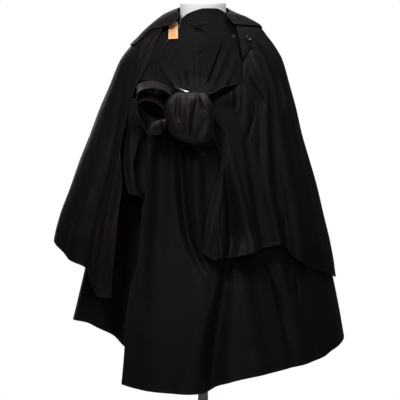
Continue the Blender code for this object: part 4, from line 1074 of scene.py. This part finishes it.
class CAPE_OT_neck(bpy.types.Operator):
    """Build the neck panel, the shoulder roll and the left facing"""

    bl_idname = "cape.neck"
    bl_label = "Neck panel, roll and facing"

    def execute(self, context):
        sizes = context.scene.cape_sizes
        grid = patch(NECK, NECK_TOP_EDGE, NECK_LOWER_EDGE, NECK_LEFT_EDGE, NECK_RIGHT_EDGE,
                     *grid_of("neck_panel"))
        cloth("neck_panel_cloth", sheet_faces(NECK, grid, sizes.thin_wall), finish("wool_crepe"),
              "lining", "neck_panel", "tb")

        across, down = grid_of("roll")
        grid = patch(SHORT, ROLL_TOP, ROLL_LOWER, ROLL_LEFT_EDGE, ROLL_RIGHT_EDGE, across, down)
        swell = (ROLL_SWELL * MM * ease(down) * ease((1 - down) * ROLL_FALL + ROLL_END))[:, None] * (
            ROLL_START_SHARE + (1 - ROLL_START_SHARE) * ease(across / ROLL_START_REACH))
        lift = (sizes.wall + LAY_GAP * (1 + 2 * ease(4 * down)))[:, None] + swell
        cloth("neck_roll_cloth", sheet_faces(SHORT, grid, sizes.wall, lift),
              finish("satin_faced_wool"), "wool", "neck_roll", "tblr")

        grid = patch(PICTURE, FACING_TOP, FACING_LOWER, FACING_OUTER, FACING_INNER,
                     *grid_of("facing"))
        cloth("left_facing_cloth", facing_faces(grid, sizes.thin_wall, sizes),
              finish("wool_reverse"), "wool", "left_facing", "rb")
        return {"FINISHED"}


PLEAT_SPREAD = 1.6              # above 1, pleats stay deep further round from the front
FULL_PLEAT_DEPTH = 20           # half-depth of bunched cloth at which its pleats are whole
BELLY_SPREAD, LIP_RISE, LIP_REACH = 1.4, 1.4, 0.12


def bunch_rings(rows, pleats, pleat_depth, piece, creases=None, back=1.0):
    """Rings of bunched cloth with pleats and creases down its front, and its back drawn out."""
    columns, count = GRIDS[piece]
    height = np.linspace(rows[0][0], rows[-1][0], count)[:, None]
    angle = full_turn(columns)[None, :]
    x, half_x, y, half_y = curves_down(rows, height)
    pleat = pleat_depth * ease(np.cos(angle) * PLEAT_SPREAD) * np.cos(pleats * angle) * np.minimum(
        1.0, half_y / FULL_PLEAT_DEPTH)
    across = x + half_x * np.sin(angle)
    level = height + 0 * angle
    rise = folds_at(creases or {}, (), across, level) * ease(np.cos(angle) / FRONT_FADE)
    deep = np.where(np.cos(angle) > 0, half_y, half_y * back)
    return np.stack((across, y - (deep + pleat + rise) * np.cos(angle), level), -1) * MM


def band_faces(front_route, front, back_route, backs, piece, thick, belly=0.0):
    """Faces of a band of cloth between a front and a back route in the picture plane."""
    columns, rows = GRIDS[piece]
    near, far = (
        edge(PICTURE, route, levels(columns)) for route in (front_route, back_route))
    step = np.gradient(near, axis=0)
    side = np.stack((-step[:, 1], step[:, 0]), -1)
    side /= np.linalg.norm(side, axis=1, keepdims=True)
    share = levels(rows, 1.15)[:, None]
    faces = []
    for depth_in in (0.0, thick / MM):
        swell = belly * np.sin(math.pi * np.minimum(share * BELLY_SPREAD, 1)) - depth_in
        lip = LIP_RISE * (1 - ease(share / LIP_REACH))
        spots = near[None] + (far - near)[None] * ease(share)[..., None]
        spots = spots + side[None] * (swell + lip)[..., None]
        depth = front + (np.broadcast_to(backs, (columns,)) - front)[None] * share
        faces.append(np.stack((spots[..., 0], depth, spots[..., 1]), -1) * MM)
    return faces


LOOP_FRONT, LOOP_BACK = -240, -150
LIP_BACK, LIP_HEIGHT = -196, 18
TAIL_BEND, TAIL_DROP, TAIL_DROP_REACH = 1212, 12, 60    # below this height it lies further in
TAIL_TUCK, TAIL_TUCK_START = 36, 0.45    # mm in at the right, share of the width where it starts

# The fold at the loop's foot, in mm and shares of its height or width
FOLD_SWELL, FOLD_CROWN, FOLD_LEAN = 7, 0.35, 5
NOTCH_DEPTH, NOTCH_PLACE, NOTCH_HALF = 6, 0.8, 0.09


class CAPE_OT_scarf(bpy.types.Operator):
    """Build the gathered tongue, the knot, the bow loop with its lip, and the tail"""

    bl_idname = "cape.scarf"
    bl_label = "Scarf"

    def execute(self, context):
        thin = context.scene.cape_sizes.thin_wall
        # the knot and bow take the wool whose lighter colour is painted-in light
        wool = finish("scarf_wool_painted_lighter")
        gather = loft("gathered_tongue", bunch_rings(
            GATHER_LEVELS, GATHER_PLEATS, GATHER_PLEAT_DEPTH, "gather"))
        settle(gather, finish("wool_crepe"), "lining", "neck_gather")
        knot = loft("scarf_knot_cloth", bunch_rings(
            KNOT_LEVELS, KNOT_PLEATS, KNOT_PLEAT_DEPTH, "knot", KNOT_CREASES, 1.5))
        settle(knot, wool, "wool", "scarf_knot")

        across, down = grid_of("tail")
        grid = patch(TAIL, TAIL_TOP, TAIL_LOWER, TAIL_LEFT, TAIL_RIGHT, across, down)
        drop = TAIL_DROP * ease((TAIL_BEND - grid[..., 1]) / TAIL_DROP_REACH)
        tuck = TAIL_TUCK * ease((across - TAIL_TUCK_START) / (1 - TAIL_TUCK_START))
        cloth("scarf_tail_cloth", sheet_faces(TAIL, grid, thin, -(drop + tuck) * MM),
              finish("satin_faced_wool"), "wool", "scarf_tail", "lb")

        faces = band_faces(LOOP_RIM, LOOP_FRONT, LOOP_END, LOOP_BACK, "loop", thin, 2.0)
        fold = settle(wall("bow_fold_cloth", *self.fold_faces(thin)), wool, "wool")
        cloth("bow_loop_cloth", faces, wool, "wool", "bow_loop",
              "tb")
        back = tuple((x, height + LIP_HEIGHT) for x, height in LIP_ROUTE)
        faces = band_faces(LIP_ROUTE, LOOP_FRONT, back, LIP_BACK, "lip", thin)
        cloth("bow_lip_cloth", faces, wool, "wool", "bow_lip",
              "tb")
        return {"FINISHED"}

    @staticmethod
    def fold_faces(thick):
        """Faces of the small turned-up fold at the foot of the loop."""
        across, down = grid_of("fold")
        grid = patch(PICTURE, FOLD_TOP, FOLD_LOWER, (FOLD_TOP[0], FOLD_LOWER[0]),
                     (FOLD_TOP[-1], FOLD_LOWER[-1]), across, down)
        across, down = across[None, :], down[:, None]
        swell = FOLD_SWELL * bump((down - FOLD_CROWN) / (1 - FOLD_CROWN)) + FOLD_LEAN * across
        notch = NOTCH_DEPTH * bump((across - NOTCH_PLACE) / NOTCH_HALF) * ease(down * 2)
        outer = np.stack((grid[..., 0], LOOP_FRONT - 1 - swell + notch, grid[..., 1]), -1) * MM
        return outer, outer + np.array((0, thick, 0))


RING_CENTRE = (-22, -162, 1281)
RING_HALF, RING_TILT, RING_LEAN = 52, 20, 8    # half-width, degrees it leans back, mm it drops
LABEL_THICK = 1.0
BUTTON_PLACE = (117, 1406)
BUTTON_PROFILE = (
    (0, -0.2), (7.6, 0), (8.4, 0.7), (8.5, 1.6), (8.3, 2.6), (7.6, 3.4), (6.6, 3.8), (5.6, 3.6),
    (4.6, 3.1), (3.0, 2.9), (0, 2.9))
HOOK_PLACE = (80, 1412)
HOOK_RADIUS, HOOK_WIRE = 3.4, 0.55

# Threads of the button, in mm: height over its seat, half the gap between them, half-length,
# how far their ends dip, and radius
THREAD_HEIGHT, THREAD_APART, THREAD_HALF, THREAD_DIP, THREAD_RADIUS = 3.9, 1.3, 1.9, 0.7, 0.4


def seat_on(layer, spot):
    """Point and outward direction, in metres, where a small piece sits on a layer."""
    angle, height = layer.place(spot)
    at = (np.array([angle]), np.array([height]))
    return layer.point(*at)[0] * MM, layer.normal(*at)[0]


def axes_from(out):
    """Two directions across an outward direction: sideways and up."""
    across = np.cross(out, (0, 0, 1))
    if not np.any(across):
        across = np.array((1.0, 0.0, 0.0))
    across /= np.linalg.norm(across)
    return across, np.cross(across, out)


def turned(name, profile, seat, out, count=64):
    """Turned solid whose axis points out from its seat; the profile starts and ends at 0."""
    across, up = axes_from(out)
    turns = full_turn(count)
    wheel = across[None] * np.sin(turns)[:, None] + up[None] * np.cos(turns)[:, None]
    verts = [seat + out * profile[0][1] * MM]
    for radius, level in profile[1:-1]:
        verts.extend(seat + out * level * MM + wheel * radius * MM)
    verts.append(seat + out * profile[-1][1] * MM)
    faces = []
    last = len(profile) - 3
    for index in range(count):
        here, beside = 1 + index, 1 + (index + 1) % count
        faces.append((0, beside, here))
        for row in range(last):
            a, b = here + row * count, beside + row * count
            faces.append((a, b, b + count, a + count))
        faces.append((here + last * count, beside + last * count, len(verts) - 1))
    return mesh_object(name, verts, faces, sharp_angle=40)


def join(name, parts):
    """Join several meshes of one finish into one piece."""
    work = bmesh.new()
    for part in parts:
        work.from_mesh(part.data)
        bpy.data.objects.remove(part, do_unlink=True)
    mesh = bpy.data.meshes.new(name)
    work.to_mesh(mesh)
    work.free()
    mesh.shade_smooth()
    return placed(name, mesh)


class CAPE_OT_trim(bpy.types.Operator):
    """Build the scarf ring, the blank label, the button and the hook"""

    bl_idname = "cape.trim"
    bl_label = "Ring, label, button and hook"

    def execute(self, context):
        sizes = context.scene.cape_sizes
        turns = full_turn(128)
        across, deep = RING_HALF * np.sin(turns), RING_HALF * np.cos(turns)
        tilt = math.radians(RING_TILT)
        ring = np.stack((
            RING_CENTRE[0] + across, RING_CENTRE[1] - deep * math.cos(tilt),
            RING_CENTRE[2] - deep * math.sin(tilt) - RING_LEAN * across / RING_HALF), -1) * MM
        settle(wire("scarf_ring_wire", ring, sizes.ring_wire), finish("chromed_steel"), "steel",
               "scarf_ring")

        grid = patch(PICTURE, LABEL_TOP, LABEL_LOWER, (LABEL_TOP[0], LABEL_LOWER[0]),
                     (LABEL_TOP[1], LABEL_LOWER[1]), *grid_of("label"))
        thick = LABEL_THICK * MM
        cloth("label_tape", facing_faces(grid, thick, sizes, thick + 2.5 * LAY_GAP),
              finish("woven_tape"), "label", "label")

        seat, out = seat_on(SHORT, BUTTON_PLACE)
        button = turned("button_disc", BUTTON_PROFILE, seat + out * SEAT_GAP, out)
        settle(button, finish("polyester_button"), "button", "shoulder_button")
        across, up = axes_from(out)
        threads = []
        for side in (-1, 1):
            middle = seat + (out * THREAD_HEIGHT + across * side * THREAD_APART) * MM
            arch = [middle + (up * r * THREAD_HALF - out * r * r * THREAD_DIP) * MM
                    for r in np.linspace(-1, 1, 9)]
            threads.append(wire("button_thread", arch, THREAD_RADIUS * MM, False, 8))
        settle(join("button_threads", threads), finish("sewing_thread"), "button")

        seat, out = seat_on(NECK, HOOK_PLACE)
        centre = seat + out * (HOOK_WIRE * MM + SEAT_GAP)
        across, up = axes_from(out)
        loop = [centre + (across * math.sin(t) + up * math.cos(t)) * HOOK_RADIUS * MM
                for t in full_turn(48)]
        settle(wire("hook_eye", loop, HOOK_WIRE * MM), finish("dull_steel"), "steel",
               "neck_hook")
        return {"FINISHED"}


def stitch_tree():
    """Node tree that lays stitches of a given length and spacing along a line."""
    tree = bpy.data.node_groups.new("stitch_row", "GeometryNodeTree")
    face = tree.interface
    face.new_socket("Line", in_out="INPUT", socket_type="NodeSocketGeometry")
    for name in ("Spacing", "Length", "Radius"):
        face.new_socket(name, in_out="INPUT", socket_type="NodeSocketFloat")
    face.new_socket("Thread", in_out="INPUT", socket_type="NodeSocketMaterial")
    face.new_socket("Stitches", in_out="OUTPUT", socket_type="NodeSocketGeometry")
    given = add_node(tree, "NodeGroupInput").outputs
    spots = add_node(tree, "GeometryNodeCurveToPoints", {
        "Curve": given["Line"], "Length": given["Spacing"]}, mode="LENGTH")
    stitch = add_node(tree, "GeometryNodeMeshCylinder", {
        "Vertices": 6, "Side Segments": 2, "Radius": given["Radius"], "Depth": given["Length"]},
        fill_type="TRIANGLE_FAN")
    laid = add_node(tree, "GeometryNodeInstanceOnPoints", {
        "Points": spots.outputs["Points"], "Instance": stitch.outputs["Mesh"],
        "Rotation": spots.outputs["Rotation"]})
    real = add_node(tree, "GeometryNodeRealizeInstances", {"Geometry": laid.outputs["Instances"]})
    dressed = add_node(tree, "GeometryNodeSetMaterial", {
        "Geometry": real.outputs["Geometry"], "Material": given["Thread"]})
    add_node(tree, "NodeGroupOutput", {"Stitches": dressed.outputs["Geometry"]})
    return tree


def stitch_row(name, tree, points, sizes):
    """Plain mesh of the stitches along points, made by the node tree."""
    line = polyline(name, points)
    modifier = line.modifiers.new("stitches", "NODES")
    modifier.node_group = tree
    values = {
        "Spacing": sizes.stitch_gap, "Length": sizes.stitch_length, "Radius": sizes.stitch_radius,
        "Thread": finish("sewing_thread")}
    for item in tree.interface.items_tree:
        if item.in_out == "INPUT" and item.name in values:
            modifier[item.identifier] = values[item.name]
    made = plain_mesh(name, line)
    if not made.data.vertices:
        raise RuntimeError("no stitches along " + name)
    return settle(made, finish("sewing_thread"), "wool")


STITCH_LIFT = 0.1
STITCH_ROWS = (
    # name, layer, edge, points along it, points left out at its ends, inset across and up in mm
    ("left_edge_stitches", SHORT, SHORT_LEFT_EDGE, 160, 2, -10, 0),
    ("drape_edge_stitches", SHORT, DRAPE_EDGE, 160, 2, 11, 0),
    ("panel_edge_stitches", LONG_FRONT, LONG_LEFT_EDGE, 160, 2, 11, 0),
    ("short_left_hem_stitches", SHORT, SHORT_LEFT_HEM, 220, 3, 0, 11),
    ("drape_hem_stitches", SHORT, DRAPE_HEM, 220, 3, 0, 11),
    ("long_hem_stitches", LONG_FRONT, LONG_HEM, 220, 3, 0, 11),
)


class CAPE_OT_stitches(bpy.types.Operator):
    """Sew the turned edges: rows of stitches beside the fronts' edges and along the hems"""

    bl_idname = "cape.stitches"
    bl_label = "Stitches"

    def execute(self, context):
        tree = stitch_tree()
        for name, layer, spots, count, ends, inset, rise in STITCH_ROWS:
            angle, height = edge(layer, spots, levels(count))[ends:-ends].T
            angle, height = angle + inset / TURN_REACH, height + rise
            points = layer.point(angle, height) + layer.normal(angle, height) * STITCH_LIFT
            stitch_row(name, tree, points * MM, context.scene.cape_sizes)
        return {"FINISHED"}


FORM_SEAM_TURNS = (0, 48, 90, 132, 180, 228, 270, 312)
FORM_TOP_RINGS, FORM_LOW_RINGS = (1500.0, 1499.4, 1498.2), (790.4, 790.0)
FORM_TOP_RIM, FORM_LOW_RIM = (3.5, 0.018), (1.5, 0.012)    # mm that round over, share drawn in
FORM_SEAM_HALF, FORM_SEAM_DEPTH, FORM_SEAM_TOP, FORM_SEAM_FADE = 1.8, 0.7, 1470, 20
BASE_PROFILE = (
    (0, 0), (188, 0), (189.4, 0.6), (190, 2), (190, 5.6), (189.4, 7.2), (188, 8), (160, 11.2),
    (112, 17), (70, 20.6), (44, 22.6), (36, 23.4), (31, 24), (0, 24))


class CAPE_OT_form(bpy.types.Operator):
    """Build the dress form's padded cover and the round base, and finish the pole"""

    bl_idname = "cape.form"
    bl_label = "Dress form and stand"

    def execute(self, context):
        height = np.concatenate((
            FORM_TOP_RINGS, np.linspace(1496.5, 791.5, 120), FORM_LOW_RINGS))[:, None]
        turn = full_turn(144)[None, :]
        side, _, front, back = curves_down(FORM_SECTIONS, height)
        depth = np.where(np.cos(turn) > 0, front, back)
        # the cover rounds over a little at its flat top and at its underside
        rounding = np.minimum(*(
            1 - share * (1 - np.clip(away / reach, 0, 1)) ** 2 for away, reach, share in (
                (FORM_SECTIONS[0][0] - height, *FORM_TOP_RIM),
                (height - FORM_BOTTOM, *FORM_LOW_RIM))))
        groove = sum(bump(((np.degrees(turn) - seam + 180) % 360 - 180) / FORM_SEAM_HALF)
                     for seam in FORM_SEAM_TURNS)
        sunk = FORM_SEAM_DEPTH * groove * ease((FORM_SEAM_TOP - height) / FORM_SEAM_FADE)
        rings = np.stack((
            (side - sunk) * rounding * np.sin(turn), -(depth - sunk) * rounding * np.cos(turn),
            height + 0 * turn), -1) * MM
        settle(loft("form_cover", rings, 40), finish("cotton_jersey"), "form_cloth", "form_torso")
        base = turned("base_disc", BASE_PROFILE, np.zeros(3), np.array((0.0, 0.0, 1.0)), 160)
        settle(base, finish("chromed_steel"), "steel", "stand_base")
        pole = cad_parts["stand_pole"]
        pole.data.materials.clear()
        pole.data.materials.append(finish("chromed_steel"))
        return {"FINISHED"}


FLOOR_RADIUS = 1.3
FLOOR_GAP = 0.0005
FILL_STRENGTH = 0.085           # of the light that the white studio gives from all round
SENSOR = 36
LIGHT_AIM = (0.0, 0.0, 1.2)
PICTURE_MIDDLE = np.array((-0.0078, 0.0, 0.9878))
LIGHTS = (
    # name, place, size and share of the key light's power
    ("key_light", (-1.0, -1.6, 3.0), 0.9, 0.45),
    ("fill_light", (0.7, -2.1, 1.3), 0.9, 0.08),
    ("top_light", (0.3, -0.1, 3.0), 1.6, 0.36),
    ("back_light", (-0.6, 3.6, 2.4), 2.4, 0.5),
)


class CAPE_OT_stage(bpy.types.Operator):
    """Set the floor, the soft studio light and the camera"""

    bl_idname = "cape.stage"
    bl_label = "Stage"

    def execute(self, context):
        scene = context.scene
        stage = scene.cape_stage
        floor = bpy.data.meshes.new("studio_floor")
        rim = [(FLOOR_RADIUS * math.sin(turn), -FLOOR_RADIUS * math.cos(turn), -FLOOR_GAP)
               for turn in full_turn(96)]
        floor.from_pydata(rim, [], [tuple(range(len(rim) - 1, -1, -1))])
        floor.materials.append(finish("studio_floor"))
        placed("studio_floor", floor)

        world = bpy.data.worlds.new("studio")
        world.use_nodes = True
        tree = world.node_tree
        tree.nodes.clear()
        path = add_node(tree, "ShaderNodeLightPath")
        fill, white = (
            add_node(tree, "ShaderNodeBackground", {"Color": (1, 1, 1, 1), "Strength": strength})
            for strength in (FILL_STRENGTH, 1.0))
        mixed = add_node(tree, "ShaderNodeMixShader", {
            0: path.outputs["Is Camera Ray"], 1: fill.outputs["Background"],
            2: white.outputs["Background"]})
        add_node(tree, "ShaderNodeOutputWorld", {"Surface": mixed.outputs["Shader"]})
        scene.world = world
        scene.view_settings.view_transform = "Standard"

        for name, place, size, share in LIGHTS:
            lamp = bpy.data.lights.new(name, "AREA")
            lamp.size = size
            lamp.energy = stage.key * share
            look_at(placed(name, lamp), place, LIGHT_AIM)

        lens = bpy.data.cameras.new("camera")
        lens.sensor_width = SENSOR
        lens.lens = SENSOR * stage.distance / stage.width
        lens.clip_end = 100
        scene.camera = placed("camera", lens)
        look_at(scene.camera, PICTURE_MIDDLE - (0.0, stage.distance, 0.0), PICTURE_MIDDLE)
        return {"FINISHED"}


def look_at(held, place, aim):
    """Place a lamp or camera and point it at a spot."""
    away = Vector(np.asarray(aim) - np.asarray(place))
    held.location = tuple(place)
    held.rotation_euler = away.to_track_quat("-Z", "Y").to_euler()


STEPS = (
    CAPE_OT_long_tier, CAPE_OT_short_tier, CAPE_OT_neck, CAPE_OT_scarf, CAPE_OT_trim,
    CAPE_OT_stitches, CAPE_OT_form, CAPE_OT_stage)


class CAPE_PT_panel(bpy.types.Panel):
    """Lists the cape's sizes, colours and building steps"""

    bl_idname = "CAPE_PT_panel"
    bl_label = "Cape"
    bl_space_type = "VIEW_3D"
    bl_region_type = "UI"
    bl_category = "Cape"

    def draw(self, context):
        for group in ("cape_sizes", "cape_colours", "cape_stage"):
            values = getattr(context.scene, group)
            box = self.layout.box()
            for name in values.__annotations__:
                box.prop(values, name)
        for step in STEPS:
            self.layout.operator(step.bl_idname)


GROUPS = {"cape_sizes": CapeSizes, "cape_colours": CapeColours, "cape_stage": CapeStage}


def register():
    """Register the groups, the steps and the panel."""
    for name, group in GROUPS.items():
        bpy.utils.register_class(group)
        setattr(bpy.types.Scene, name, bpy.props.PointerProperty(type=group))
    for step in STEPS:
        bpy.utils.register_class(step)
    bpy.utils.register_class(CAPE_PT_panel)


def unregister():
    """Take back what register added."""
    bpy.utils.unregister_class(CAPE_PT_panel)
    for step in reversed(STEPS):
        bpy.utils.unregister_class(step)
    for name, group in GROUPS.items():
        delattr(bpy.types.Scene, name)
        bpy.utils.unregister_class(group)


def main():
    """Build everything in order."""
    register()
    for step in STEPS:
        section, action = step.bl_idname.split(".")
        getattr(getattr(bpy.ops, section), action)()


if __name__ == "__main__":
    main()
